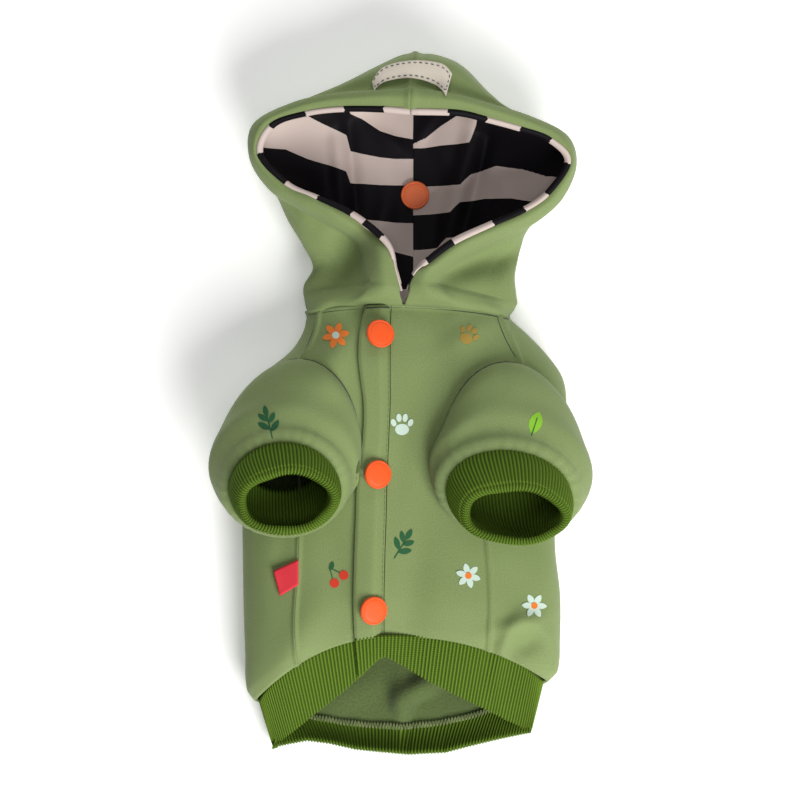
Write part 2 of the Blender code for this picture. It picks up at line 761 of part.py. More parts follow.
sage = cloth_material("sage_cloth", (0.24, 0.31, 0.13), 0.8)
rib = cloth_material("green_rib", (0.09, 0.18, 0.02), 0.85)
striped = cloth_material("striped_lining", (0.55, 0.45, 0.42), 0.6)
orange = cloth_material("orange_plastic", (0.95, 0.13, 0.03), 0.35)
cream = cloth_material("cream_label", (0.75, 0.70, 0.58), 0.85)
red = cloth_material("red_tag", (0.75, 0.03, 0.06), 0.7)

back_rows = panel_grid("seam_left", "seam_right", BACK_COLUMNS, back=True)
left_rows = panel_grid("seam_left", "lap_right", FRONT_COLUMNS)
right_rows = panel_grid("lap_right", "seam_right", FRONT_COLUMNS)
body_tree = surface_tree([back_rows, left_rows, right_rows])

back_panel = sheet_mesh("back_panel", back_rows, sage, parts, BODY_WALL)
front_left = sheet_mesh("front_left_panel", left_rows, sage, parts, BODY_WALL, flip=True)
front_right = sheet_mesh("front_right_panel", right_rows, sage, parts, BODY_WALL, flip=True)

for row, side in zip(ARM_TABLE, ("left", "right")):
    arm = dict(zip(ARM_COLUMNS, row))
    sleeve_rows = sleeve_grid(arm, body_tree)
    sheet_mesh(side + "_sleeve", sleeve_rows, sage, parts, SLEEVE_WALL, closed=True, even=False)
    cuff_object(arm, side + "_cuff", rib, parts)
    cutter = armhole_cutter(arm, side + "_armhole", cutters)
    cut_with(back_panel, cutter)
    cut_with(front_left if side == "left" else front_right, cutter)

placket_rows = panel_grid("lap_left", "lap_right", 5, proud=LAY_GAP + PLACKET_WALL)
sheet_mesh("placket", placket_rows, sage, parts, PLACKET_WALL, flip=True)
placket_tree = surface_tree([placket_rows])

sheet_mesh("hem_band", hem_grid(), rib, parts, HEM_WALL)

hood_left_rows = hood_grid(HOOD_LEFT_TABLE, -1)
hood_right_rows = hood_grid(HOOD_RIGHT_TABLE, 1)
hood_tree = surface_tree([hood_left_rows, hood_right_rows])
sheet_mesh("hood_left", part_seam(hood_left_rows, -1), sage, parts, HOOD_WALL, flip=True)
sheet_mesh("hood_right", part_seam(hood_right_rows, 1), sage, parts, HOOD_WALL)

lining_left_rows = lining_grid(HOOD_LEFT_TABLE, -1)
lining_right_rows = lining_grid(HOOD_RIGHT_TABLE, 1)
lining_tree = surface_tree([lining_left_rows, lining_right_rows])
sheet_mesh("lining_left", part_seam(lining_left_rows, -1), striped, parts, LINING_WALL, flip=True)
sheet_mesh("lining_right", part_seam(lining_right_rows, 1), striped, parts, LINING_WALL)

for number, (across, along) in enumerate(SNAP_PLACES, start=1):
    x = across * BODY_HALF
    y = NECK_Y - along * FRONT_LENGTH
    up = normal_on(placket_tree, x, y)
    seat = Vector((x, y, height_on(placket_tree, x, y)))
    seat += up * SEAM_GAP
    snap_disc(f"snap_cap_{number}", SNAP_DIAMETER, SNAP_THICK, seat, up, orange, parts)
    inside = Vector((x, y, height_on(body_tree, x, y))) - up * (BODY_WALL + LAY_GAP)
    mate = f"snap_back_{number}"
    snap_disc(mate, SNAP_BACK_DIAMETER, SNAP_BACK_THICK, inside, -up, orange, parts, sides=12)

label_place = Vector((LABEL_ACROSS * HOOD_HALF, NECK_Y + LABEL_ALONG * HOOD_LENGTH, 0))
label_size = (LABEL_WIDTH, LABEL_HEIGHT)
label_bend = (LABEL_ARCH, 0.0, 10)
draped_patch("crown_label", label_place, label_size, *label_bend, hood_tree, LABEL_WALL, cream, parts)

snap_x = HOOD_SNAP_ACROSS * HOOD_HALF
snap_y = NECK_Y + HOOD_SNAP_ALONG * HOOD_LENGTH
reach = 0.4 * SNAP_DIAMETER
lining_top = max(height_on(lining_tree, snap_x + offset, snap_y) for offset in (-reach, reach))
snap_seat = Vector((snap_x, snap_y, lining_top + LINING_WALL + LAY_GAP))
up = Vector((0, 0, 1))
snap_disc("hood_snap_cap", SNAP_DIAMETER, SNAP_THICK, snap_seat, up, orange, parts)
under_seat = Vector((snap_x, snap_y, HOOD_WALL + LAY_GAP))
mate_size = (SNAP_BACK_DIAMETER, SNAP_BACK_THICK)
snap_disc("hood_snap_back", *mate_size, under_seat, up, orange, parts, sides=12)

tag_middle = Vector((TAG_ACROSS * BODY_HALF, NECK_Y - TAG_ALONG * FRONT_LENGTH, 0))
tag_size = (TAG_LENGTH, TAG_WIDTH)
tag_bend = (0.0, TAG_SLOPE, 4)
draped_patch("side_tag", tag_middle, tag_size, *tag_bend, body_tree, TAG_WALL, red, parts)


def middle_of_outline(collection):
    """Middle of the box that holds every part, on the surface that the hoodie rests on."""
    bpy.context.view_layer.update()
    graph = bpy.context.evaluated_depsgraph_get()
    corners = []
    for obj in collection.objects:
        found = obj.evaluated_get(graph)
        corners += [found.matrix_world @ Vector(corner) for corner in found.bound_box]
    low = [min(corner[axis] for corner in corners) for axis in range(2)]
    high = [max(corner[axis] for corner in corners) for axis in range(2)]
    return Vector((0.5 * (low[0] + high[0]), 0.5 * (low[1] + high[1]), 0.0))


shift = middle_of_outline(parts)
stand = bpy.data.objects.new("dog_hoodie_origin", None)
parts.objects.link(stand)
for obj in list(parts.objects) + list(cutters.objects):
    if obj is not stand:
        obj.parent = stand
stand.location = -shift
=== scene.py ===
"""Small dog hoodie, lying on its back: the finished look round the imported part. Metres, +Z up, hood towards +Y."""

import math

import bmesh
import bpy
import numpy as np
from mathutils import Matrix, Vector
from mathutils.bvhtree import BVHTree
from mathutils.kdtree import KDTree


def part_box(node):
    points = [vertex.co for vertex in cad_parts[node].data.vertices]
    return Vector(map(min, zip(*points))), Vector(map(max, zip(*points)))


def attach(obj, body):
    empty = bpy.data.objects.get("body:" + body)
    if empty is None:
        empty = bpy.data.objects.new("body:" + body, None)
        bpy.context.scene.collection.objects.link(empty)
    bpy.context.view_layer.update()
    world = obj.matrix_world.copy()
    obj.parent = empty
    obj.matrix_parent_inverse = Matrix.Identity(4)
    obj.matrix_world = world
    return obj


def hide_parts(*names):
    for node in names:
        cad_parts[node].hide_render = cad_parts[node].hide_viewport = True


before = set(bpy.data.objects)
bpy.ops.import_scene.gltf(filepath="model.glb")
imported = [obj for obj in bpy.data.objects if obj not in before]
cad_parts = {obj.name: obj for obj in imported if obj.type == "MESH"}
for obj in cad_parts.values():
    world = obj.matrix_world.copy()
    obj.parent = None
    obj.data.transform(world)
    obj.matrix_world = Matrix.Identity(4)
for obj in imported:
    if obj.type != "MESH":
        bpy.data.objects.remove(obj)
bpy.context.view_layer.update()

# Photographer's table: white paper, a camera overhead on a long lens, three soft lights and a dim room.
# A step of the picture is 0.467 mm on the table, so a place on the cloth can be named by its column and row.
PICTURE_STEP = 0.000467
PICTURE_ZERO = (397.5, 401.5)
MODEL_MIDDLE = (0.001535, -0.001827)
PICTURE_SIDE = 800 * PICTURE_STEP
CAMERA_HIGH = 3.2
CAMERA_SOUTH = 0.10
FILM_WIDTH = 36.0
FOCUS_HIGH = 0.030
PAPER_SIDE = 4.0
PAPER_WHITE = (0.96, 0.96, 0.96, 1)
PAPER_GLOW = 0.27


def picture_place(column, row):
    """Where a column and a row of the picture lie on the table."""
    x = (column - PICTURE_ZERO[0]) * PICTURE_STEP - MODEL_MIDDLE[0]
    y = (PICTURE_ZERO[1] - row) * PICTURE_STEP - MODEL_MIDDLE[1]
    return x, y


def put_in_scene(name, data):
    obj = bpy.data.objects.new(name, data)
    bpy.context.scene.collection.objects.link(obj)
    return obj


def aim(obj, place, target):
    obj.location = place
    obj.rotation_mode = "QUATERNION"
    obj.rotation_quaternion = (Vector(target) - Vector(place)).to_track_quat("-Z", "Y")


def soft_light(name, place, target, size, power, colour):
    light = bpy.data.lights.new(name, "AREA")
    light.shape = "RECTANGLE"
    light.size, light.size_y = size
    light.energy = power
    light.color = colour
    obj = put_in_scene(name, light)
    aim(obj, place, target)


def principled(name, colour, roughness):
    """A new material, with its node tree and its shader."""
    material = bpy.data.materials.new(name)
    material.use_nodes = True
    shader = material.node_tree.nodes["Principled BSDF"]
    shader.inputs["Base Color"].default_value = colour
    shader.inputs["Roughness"].default_value = roughness
    return material, material.node_tree, shader


view_x, view_y = picture_place(400, 400)
camera = bpy.data.cameras.new("camera")
camera.sensor_width = FILM_WIDTH
camera.lens = FILM_WIDTH * (CAMERA_HIGH - FOCUS_HIGH) / PICTURE_SIDE
camera.clip_end = 20.0
camera_stand = put_in_scene("camera", camera)
aim(camera_stand, (view_x, view_y - CAMERA_SOUTH, CAMERA_HIGH), (view_x, view_y, FOCUS_HIGH))
bpy.context.scene.camera = camera_stand

soft_light("key_light", (0.55, -1.05, 1.05), (0, 0, 0), (0.9, 0.9), 31, (1.0, 0.99, 0.97))
soft_light("back_light", (0.25, 1.4, 0.65), (0, 0.15, 0), (1.4, 0.5), 8, (1.0, 1.0, 1.0))
soft_light("top_light", (0.10, 0.25, 1.5), (0, 0.05, 0), (0.8, 0.8), 4.5, (1.0, 1.0, 1.0))

room = bpy.data.worlds.new("room")
room.use_nodes = True
room.node_tree.nodes["Background"].inputs["Color"].default_value = (1, 1, 1, 1)
room.node_tree.nodes["Background"].inputs["Strength"].default_value = 0.08
bpy.context.scene.world = room
bpy.context.scene.view_settings.view_transform = "Standard"

paper_white, _, paper_shader = principled("paper_white", PAPER_WHITE, 0.9)
paper_shader.inputs["Specular IOR Level"].default_value = 0.1
# The paper also glows faintly: painted light that fades the shadows on it and lights the cloth from below.
paper_shader.inputs["Emission Color"].default_value = (1, 1, 1, 1)
paper_shader.inputs["Emission Strength"].default_value = PAPER_GLOW
bpy.ops.mesh.primitive_plane_add(size=PAPER_SIDE, location=(0, 0, 0))
paper = bpy.context.object
paper.name = "paper"
paper.data.materials.append(paper_white)

# Body: two front halves and a back, cut from smooth double knit that is brushed to fleece on its inside. They are
# sewn together at the sides and shoulders, and each seam pulls the cloth down into a narrow valley.
NECK_Y = 0.045
NECK_DROP_LEFT = 0.003
NECK_DROP_RIGHT = 0.005
FRONT_LENGTH = 0.155
LEFT_LENGTH = 0.182
RIGHT_LENGTH = 0.171
BACK_LENGTH = 0.197
BODY_HALF = 0.074
CHEST_RISE = 0.042
BELLY_POWER = 0.86
SIDE_SAG = 2.3
BACK_DEPTH = 1.12
BACK_POWER = 0.6
KNIT_WALL = 0.0016
SEAM_GAP = 0.0003
SEAM_DIP = 0.0011
SEAM_WIDE = 0.0012
BODY_ROWS = 150
FRONT_COLUMNS = 64
BACK_COLUMNS = 150
SAGE = (0.206, 0.272, 0.102, 1)
FLEECE = (0.098, 0.140, 0.044, 1)

# Down: share of the way from neck seam to hem seam. Left, right: outline, as shares of BODY_HALF. Rise: height of
# the belly as a share of CHEST_RISE. Side: height of the outline as a share of rise. The rest are places across.
BODY_NAMES = ("down", "left", "right", "rise", "side", "seam_left", "lap_left", "lap_right", "seam_right")
BODY_TABLE = (
    (0.00, 0.57, 0.70, 0.85, 0.46, -0.490, -0.205, -0.040, 0.640),
    (0.05, 0.60, 0.83, 0.90, 0.44, -0.510, -0.230, -0.045, 0.690),
    (0.10, 0.68, 0.94, 0.95, 0.42, -0.550, -0.245, -0.047, 0.740),
    (0.16, 0.86, 1.04, 0.99, 0.40, -0.640, -0.248, -0.047, 0.780),
    (0.22, 0.97, 1.07, 1.00, 0.40, -0.640, -0.235, -0.047, 0.760),
    (0.30, 1.00, 1.06, 0.99, 0.40, -0.630, -0.215, -0.047, 0.700),
    (0.40, 0.99, 1.03, 0.97, 0.42, -0.625, -0.220, -0.055, 0.620),
    (0.52, 0.985, 1.00, 0.95, 0.42, -0.620, -0.255, -0.066, 0.550),
    (0.64, 0.98, 1.00, 0.95, 0.42, -0.618, -0.265, -0.072, 0.555),
    (0.76, 0.975, 1.03, 0.96, 0.42, -0.628, -0.275, -0.080, 0.575),
    (0.88, 0.965, 1.03, 0.96, 0.40, -0.645, -0.280, -0.085, 0.585),
    (0.97, 0.955, 1.015, 0.90, 0.38, -0.640, -0.275, -0.085, 0.575),
    (1.00, 0.905, 0.955, 0.86, 0.36, -0.630, -0.270, -0.085, 0.570),
)

# Folds and dents of the belly side: the middle by column and row of the picture, the direction in degrees from +X,
# half its length and width in millimetres, and how far it lifts the cloth in millimetres.
FOLD_NAMES = ("column", "row", "turn", "long", "wide", "lift")
BODY_FOLDS = (
    (291, 655, 62, 22, 9, 3.0),
    (507, 640, 62, 13, 4, 2.6),
    (519, 624, 15, 13, 4, 2.6),
    (538, 628, -35, 11, 4, 1.8),
    (524, 645, 30, 10, 5, -2.6),
    (492, 655, 80, 12, 4, -1.4),
    (437, 345, 100, 24, 10, -3.4),
    (337, 350, 75, 19, 8, 2.4),
    (470, 335, 30, 18, 6, 1.6),
    (413, 590, 84, 33, 9, -1.7),
    (456, 645, 95, 37, 15, 1.2),
    (330, 330, 30, 16, 6, -1.2),
    (335, 560, 100, 30, 8, -1.2),
    (318, 660, 30, 14, 8, -1.2),
    (430, 420, 70, 20, 8, 0.9),
    (372, 560, 88, 30, 5, 0.6),
    (400, 460, 80, 22, 7, -0.8),
    (520, 590, 100, 26, 9, -1.3),
    (548, 600, 95, 30, 5, 0.8),
    (268, 600, 88, 26, 7, 0.9),
    (280, 560, 80, 16, 5, -0.9),
)


# Folds of the back, where the opening at the hem shows its fleece.
BACK_FOLDS = (
    (418, 690, 35, 11, 4.5, 6.0),
    (402, 706, 100, 11, 3.6, 5.5),
    (415, 713, 60, 9, 4.0, -3.0),
    (350, 690, 20, 16, 8, 1.6),
)


def rows_at(table, names, places):
    """Smooth values of a table at many places, as a dict of arrays."""
    rows = np.array(table)
    last = len(rows) - 2
    index = np.clip(np.searchsorted(rows[:, 0], places, side="right") - 1, 0, last)
    start = rows[index]
    end = rows[index + 1]
    before = rows[np.maximum(index - 1, 0)]
    after = rows[np.minimum(index + 2, last + 1)]
    width = (end[:, 0] - start[:, 0])[:, None]
    share = np.clip((np.asarray(places)[:, None] - start[:, :1]) / width, 0, 1)
    slope_start = width * (end - before) / (end[:, :1] - before[:, :1])
    slope_end = width * (after - start) / (after[:, :1] - start[:, :1])
    square = share * share
    cube = square * share
    found = (
        (2 * cube - 3 * square + 1) * start
        + (cube - 2 * square + share) * slope_start
        + (3 * square - 2 * cube) * end
        + (cube - square) * slope_end
    )
    return {name: found[:, column] for column, name in enumerate(names)}


def lift_of_folds(folds, x, y):
    """Height that a table of folds adds at places on the table."""
    lift = np.zeros_like(x)
    for row in folds:
        fold = dict(zip(FOLD_NAMES, row))
        turn = math.radians(fold["turn"])
        middle_x, middle_y = picture_place(fold["column"], fold["row"])
        along = (x - middle_x) * math.cos(turn) + (y - middle_y) * math.sin(turn)
        across = (y - middle_y) * math.cos(turn) - (x - middle_x) * math.sin(turn)
        share = (along / (fold["long"] / 1000)) ** 2 + (across / (fold["wide"] / 1000)) ** 2
        lift += fold["lift"] / 1000 * np.exp(-share)
    return lift


def body_surface(row, turn, proud=0.0):
    """Points of the body's outer face for one row of its table, at many turns round it."""
    across, up = np.cos(turn), np.sin(turn)
    out = np.abs(across) ** BELLY_POWER
    right = across > 0
    half = np.where(right, row["right"], row["left"])
    x = np.sign(across) * out * half * BODY_HALF
    rise = row["rise"] * CHEST_RISE
    side = row["side"] * rise
    side_length = np.where(right, RIGHT_LENGTH, LEFT_LENGTH)
    neck = NECK_Y - np.where(right, NECK_DROP_RIGHT, NECK_DROP_LEFT) * out * out
    front = FRONT_LENGTH + (side_length - FRONT_LENGTH) * out**SIDE_SAG
    back = side_length + (BACK_LENGTH - side_length) * (1 - out * out)
    above = side + (rise - side) * np.maximum(up, 0) ** BELLY_POWER
    below = np.maximum(0.0, side * (1 - BACK_DEPTH * np.maximum(-up, 0) ** BACK_POWER))
    y = neck - row["down"] * np.where(up >= 0, front, back)
    z = np.where(up >= 0, above, below)
    x = x - MODEL_MIDDLE[0]
    y = y - MODEL_MIDDLE[1]
    z = z + lift_of_folds(BODY_FOLDS, x, y) * np.clip(3 * up, 0, 1) + proud
    z = z + np.maximum(lift_of_folds(BACK_FOLDS, x, y), 0) * np.clip(-3 * up, 0, 1)
    return np.stack([x, y, z], axis=-1)


def row_of(table, names, place):
    return {name: values[0] for name, values in rows_at(table, names, [place]).items()}


def turn_at(row, across):
    half = (row["right"] if across > 0 else row["left"]) * BODY_HALF
    share = min(abs(across) / half, 0.999) ** (1 / BELLY_POWER)
    return math.acos(share) if across > 0 else math.pi - math.acos(share)


def at_shares(line, shares):
    """Points along a line, at shares of its length."""
    steps = np.linalg.norm(np.diff(line, axis=0), axis=1)
    travelled = np.concatenate([[0.0], np.cumsum(steps)])
    wanted = np.asarray(shares) * travelled[-1]
    return np.stack([np.interp(wanted, travelled, line[:, axis]) for axis in range(3)], axis=-1)


def seam_shares(count):
    """Shares from 0 to 1, closer together at both ends, where the seams are."""
    even = np.linspace(0, 1, count)
    return even - 0.6 * np.sin(2 * math.pi * even) / (2 * math.pi)


def panel_points(edge_from, edge_to, columns, proud=0.0, back=False, rows=BODY_ROWS):
    """A panel's outer face between two named seams of the body, from the neck down."""
    grid = []
    for down in np.linspace(0, 1, rows):
        row = row_of(BODY_TABLE, BODY_NAMES, down)
        start = turn_at(row, row[edge_from] * BODY_HALF)
        end = turn_at(row, row[edge_to] * BODY_HALF) + (2 * math.pi if back else 0)
        fine = body_surface(row, np.linspace(start, end, 400), proud)
        trim = 0.5 * SEAM_GAP / np.linalg.norm(np.diff(fine, axis=0), axis=1).sum()
        grid.append(at_shares(fine, trim + (1 - 2 * trim) * seam_shares(columns)))
    return np.array(grid)


def grid_normals(grid, wrap=False):
    along = np.gradient(grid, axis=0)
    if wrap:
        across = np.roll(grid, -1, axis=1) - np.roll(grid, 1, axis=1)
    else:
        across = np.gradient(grid, axis=1)
    normal = np.cross(along, across)
    return normal / np.maximum(np.linalg.norm(normal, axis=-1, keepdims=True), 1e-12)


def distance_along(grid, axis):
    steps = np.linalg.norm(np.diff(grid, axis=axis), axis=-1)
    pad = [(0, 0), (0, 0)]
    pad[axis] = (1, 0)
    return np.pad(np.cumsum(steps, axis=axis), pad)


def sink_edges(grid, facing, sides="udlr", depth=SEAM_DIP, wide=SEAM_WIDE):
    """Pulls the cloth down beside its seams, which are named as up, down, left and right edges of the grid."""
    down = distance_along(grid, 0)
    right = distance_along(grid, 1)
    reach = {"u": down, "d": down[-1:] - down, "l": right, "r": right[:, -1:] - right}
    dip = np.zeros(grid.shape[:2])
    for side in sides:
        dip = np.maximum(dip, np.exp(-((reach[side] / wide) ** 2)))
    return grid - facing * (depth * dip)[..., None]


def make_sheet(name, grid, materials, wall, flip=False, wrap=False, keep=None):
    """A cloth wall whose outer face is a grid of points. The second material is on its inner face."""
    rows, columns = grid.shape[:2]
    order = np.arange(rows * columns).reshape(rows, columns)
    following = np.roll(order, -1, axis=1)
    last = columns if wrap else columns - 1
    quads = np.stack(
        [order[:-1, :last], following[:-1, :last], following[1:, :last], order[1:, :last]], axis=-1
    ).reshape(-1, 4)
    corner = np.stack(np.meshgrid(np.arange(rows - 1), np.arange(last), indexing="ij"), axis=-1).reshape(-1, 2)
    if flip:
        quads = quads[:, ::-1]
    points = grid.reshape(-1, 3)
    shown = np.ones(len(quads), bool)
    if keep is not None:
        shown = keep(points[quads].mean(axis=1))
    mesh = bpy.data.meshes.new(name)
    mesh.from_pydata(points.tolist(), [], quads[shown].tolist())
    length = distance_along(grid, 0)
    width = distance_along(grid, 1)
    if wrap:
        width = np.concatenate([width, width[:, -1:] + np.linalg.norm(grid[:, -1:] - grid[:, :1], axis=-1)], axis=1)
        length = np.concatenate([length, length[:, :1]], axis=1)
    steps = [(0, 0), (0, 1), (1, 1), (1, 0)]
    if flip:
        steps = steps[::-1]
    cloth = mesh.uv_layers.new(name="cloth")
    places = []
    for down, right in steps:
        row = corner[shown][:, 0] + down
        column = corner[shown][:, 1] + right
        places.append(np.stack([width[row, column], length[row, column]], axis=-1))
    cloth.data.foreach_set("uv", np.stack(places, axis=1).ravel())
    obj = put_in_scene(name, mesh)
    for material in materials:
        mesh.materials.append(material)
    if wall:
        solid = obj.modifiers.new("wall", "SOLIDIFY")
        solid.thickness = wall
        solid.offset = -1.0
        solid.use_quality_normals = True
        solid.material_offset = 1 if len(materials) > 1 else 0
        apply_modifiers(obj)
    obj.data.shade_smooth()
    drop_loose(obj)
    return obj


def apply_modifiers(obj):
    bpy.ops.object.select_all(action="DESELECT")
    bpy.context.view_layer.objects.active = obj
    obj.select_set(True)
    for modifier in list(obj.modifiers):
        bpy.ops.object.modifier_apply(modifier=modifier.name)
    obj.select_set(False)


def drop_loose(obj):
    working = bmesh.new()
    working.from_mesh(obj.data)
    loose = [vertex for vertex in working.verts if not vertex.link_faces]
    bmesh.ops.delete(working, geom=loose, context="VERTS")
    working.to_mesh(obj.data)
    working.free()


def knit_material(name, colour, roughness, bump, fine, shade=0.12, sheen=0.12):
    """Knitted cloth: a fine mottled bump in the cloth's own measure, and a slight change of shade over it."""
    material, tree, shader = principled(name, colour, roughness)
    shader.inputs["Sheen Weight"].default_value = sheen
    shader.inputs["Sheen Roughness"].default_value = 0.5
    shader.inputs["Specular IOR Level"].default_value = 0.25
    place = tree.nodes.new("ShaderNodeUVMap")
    place.uv_map = "cloth"
    grain = tree.nodes.new("ShaderNodeTexNoise")
    grain.inputs["Scale"].default_value = fine
    grain.inputs["Detail"].default_value = 3.0
    tree.links.new(place.outputs["UV"], grain.inputs["Vector"])
    relief = tree.nodes.new("ShaderNodeBump")
    relief.inputs["Strength"].default_value = bump
    relief.inputs["Distance"].default_value = 0.0004
    tree.links.new(grain.outputs["Fac"], relief.inputs["Height"])
    tree.links.new(relief.outputs["Normal"], shader.inputs["Normal"])
    mix = tree.nodes.new("ShaderNodeMix")
    mix.data_type = "RGBA"
    mix.inputs["A"].default_value = tuple(c * (1 - shade) for c in colour[:3]) + (1,)
    mix.inputs["B"].default_value = tuple(min(c * (1 + shade), 1) for c in colour[:3]) + (1,)
    tree.links.new(grain.outputs["Fac"], mix.inputs["Factor"])
    tree.links.new(mix.outputs["Result"], shader.inputs["Base Color"])
    return material


def finish_piece(obj, slot, *nodes):
    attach(obj, "root")
    if nodes:
        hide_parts(*nodes)


sage_cloth = knit_material("sage_double_knit", SAGE, 0.72, 0.55, 1700, shade=0.3)
fleece_inside = knit_material("sage_fleece", FLEECE, 0.95, 0.9, 900, shade=0.35, sheen=0.25)

ARMHOLE_HALF_WIDTH = 0.0262
ARMHOLE_HALF_LENGTH = 0.036
ARM_NAMES = (
    "side",
    "hole_across",
    "hole_along",
    "hole_turn",
    "seam_across",
    "seam_along",
    "seam_high",
    "seam_wide",
    "seam_tall",
    "seam_lean",
    "rim_across",
    "rim_along",
    "rim_high",
    "rim_wide",
    "rim_tall",
    "rim_lean",
    "roll",
)
ARM_TABLE = (
    (-1, -0.600, 0.395, 6, -0.709, 0.551, 0.80, 1.14, 1.06, 27, -0.690, 0.594, 1.0, 1.02, 0.85, 37, 4),
    (1, 0.655, 0.405, -8, 0.694, 0.566, 0.80, 1.32, 1.00, 27, 0.732, 0.634, 1.0, 1.10, 0.79, 37, -10),
)
arms = [dict(zip(ARM_NAMES, row)) for row in ARM_TABLE]


def hole_middle(arm):
    x = arm["hole_across"] * BODY_HALF - MODEL_MIDDLE[0]
    y = NECK_Y - arm["hole_along"] * FRONT_LENGTH - MODEL_MIDDLE[1]
    return np.array([x, y])


def outside_armholes(middles):
    """Which faces of a panel stay: those that aren't in an armhole on the belly side."""
    kept = np.ones(len(middles), bool)
    for arm in arms:
        turn = math.radians(arm["hole_turn"])
        away = middles[:, :2] - hole_middle(arm)
        across = (away[:, 0] * math.cos(turn) + away[:, 1] * math.sin(turn)) / ARMHOLE_HALF_WIDTH
        along = (away[:, 1] * math.cos(turn) - away[:, 0] * math.sin(turn)) / ARMHOLE_HALF_LENGTH
        kept &= (across**2 + along**2 > 0.97) | (middles[:, 2] < 0.24 * CHEST_RISE)
    return kept


left_points = panel_points("seam_left", "lap_right", FRONT_COLUMNS)
right_points = panel_points("lap_right", "seam_right", FRONT_COLUMNS)
back_points = panel_points("seam_left", "seam_right", BACK_COLUMNS, back=True)
ALL_ROUND = np.linspace(0, 2 * math.pi, 361)
body_whole = np.array(
    [body_surface(row_of(BODY_TABLE, BODY_NAMES, down), ALL_ROUND) for down in np.linspace(0, 1, BODY_ROWS)]
)


def grid_tree(grids):
    """Something to drop points on to: the faces of several grids."""
    points = []
    faces = []
    for grid in grids:
        rows, columns = grid.shape[:2]
        order = np.arange(rows * columns).reshape(rows, columns) + len(points)
        points += grid.reshape(-1, 3).tolist()
        corners = [order[:-1, :-1], order[:-1, 1:], order[1:, 1:], order[1:, :-1]]
        faces += np.stack(corners, axis=-1).reshape(-1, 4).tolist()
    return BVHTree.FromPolygons(points, faces)


body_tree = grid_tree([body_whole])


def drop_on(tree, x, y, otherwise=0.0):
    """Height and facing of a surface, straight below a place."""
    hit = tree.ray_cast(Vector((x, y, 0.5)), Vector((0, 0, -1)))
    if hit[0] is None:
        return otherwise, Vector((0, 0, 1))
    return hit[0].z, hit[1] if hit[1].z > 0 else -hit[1]


for name, node, grid, flip, sides in (
    ("front_left_cloth", "front_left_panel", left_points, True, "ul"),
    ("front_right_cloth", "front_right_panel", right_points, True, "ur"),
    ("back_cloth", "back_panel", back_points, False, "ulr"),
):
    facing = grid_normals(grid) * (-1 if flip else 1)
    sunk = sink_edges(grid, facing, sides)
    sunk[..., 2] = np.maximum(sunk[..., 2], 0.0)
    piece = make_sheet(name, sunk, (sage_cloth, fleece_inside), KNIT_WALL, flip=flip, keep=outside_armholes)
    finish_piece(piece, "sage_cloth", node)


# Placket: the free edge of the right front, folded double and laid over the left front. One row of stitches in a
# matching thread holds the fold down.
PLACKET_PROUD = 0.0029
PLACKET_WALL = 0.0021
PLACKET_COLUMNS = 26
STITCH_LONG = 0.0021
STITCH_STEP = 0.0027
STITCH_THICK = 0.00034
THREAD_GREEN = (0.10, 0.15, 0.045, 1)


def ease(share):
    share = np.clip(share, 0, 1)
    return share * share * (3 - 2 * share)


placket_flat = panel_points("lap_left", "lap_right", PLACKET_COLUMNS)
placket_width = distance_along(placket_flat, 1)
placket_share = placket_width / placket_width[:, -1:]
placket_proud = PLACKET_PROUD * (1 - 0.86 * ease((placket_share - 0.62) / 0.38))
placket_points = placket_flat.copy()
placket_points[..., 2] += placket_proud
placket_edge = np.exp(-((placket_width / 0.0009) ** 2))
placket_points[..., 2] -= 0.0007 * placket_edge
placket_points[..., 2] -= 0.0008 * np.exp(-(((placket_width[:, -1:] - placket_width) / 0.0012) ** 2))
placket_tree = grid_tree([placket_points])
placket = make_sheet("placket_fold", placket_points, (sage_cloth,), PLACKET_WALL, flip=True)
finish_piece(placket, "sage_cloth", "placket")


def thread_or_shade_material(name, colour):
    material, _, shader = principled(name, colour, 0.6)
    shader.inputs["Sheen Weight"].default_value = 0.3
    return material


green_thread = thread_or_shade_material("green_thread", THREAD_GREEN)


def lay_stitches(name, line, long, step, thick, material, tree, slot, sunk=0.2):
    """A row of stitches along a line on a surface: short round-ended threads."""
    points = []
    faces = []
    line = np.asarray(line)
    total = np.linalg.norm(np.diff(line, axis=0), axis=1).sum()
    count = int(total / step)
    for index in range(count):
        start = at_shares(line, [index * step / total])[0]
        end = at_shares(line, [(index * step + long) / total])[0]
        ring_start = len(points)
        for share, size in ((0.0, 0.35), (0.15, 0.9), (0.5, 1.0), (0.85, 0.9), (1.0, 0.35)):
            middle = start + (end - start) * share
            high, up = drop_on(tree, middle[0], middle[1])
            centre = Vector((middle[0], middle[1], high)) + up * thick * (0.5 - sunk) * (1 if 0 < share < 1 else 0.2)
            way = Vector(end - start).normalized()
            side = up.cross(way).normalized()
            for turn in range(6):
                angle = math.pi * turn / 3
                points.append(centre + (side * math.cos(angle) + up * math.sin(angle)) * 0.5 * thick * size)
        for ring in range(4):
            for turn in range(6):
                a = ring_start + ring * 6 + turn
                b = ring_start + ring * 6 + (turn + 1) % 6
                faces.append((a, b, b + 6, a + 6))
        faces.append(tuple(ring_start + turn for turn in range(5, -1, -1)))
        faces.append(tuple(ring_start + 24 + turn for turn in range(6)))
    mesh = bpy.data.meshes.new(name)
    mesh.from_pydata([tuple(point) for point in points], [], faces)
    mesh.materials.append(material)
    mesh.shade_smooth()
    obj = put_in_scene(name, mesh)
    tidy_normals(obj)
    finish_piece(obj, slot)
    return obj


def tidy_normals(obj):
    working = bmesh.new()
    working.from_mesh(obj.data)
    bmesh.ops.recalc_face_normals(working, faces=working.faces)
    working.to_mesh(obj.data)
    working.free()


stitch_line = [row[int(0.86 * PLACKET_COLUMNS)] for row in placket_points[8:-1]]
lay_stitches(
    "placket_stitches", stitch_line, STITCH_LONG, STITCH_STEP, STITCH_THICK, green_thread, placket_tree, "sage_cloth"
)

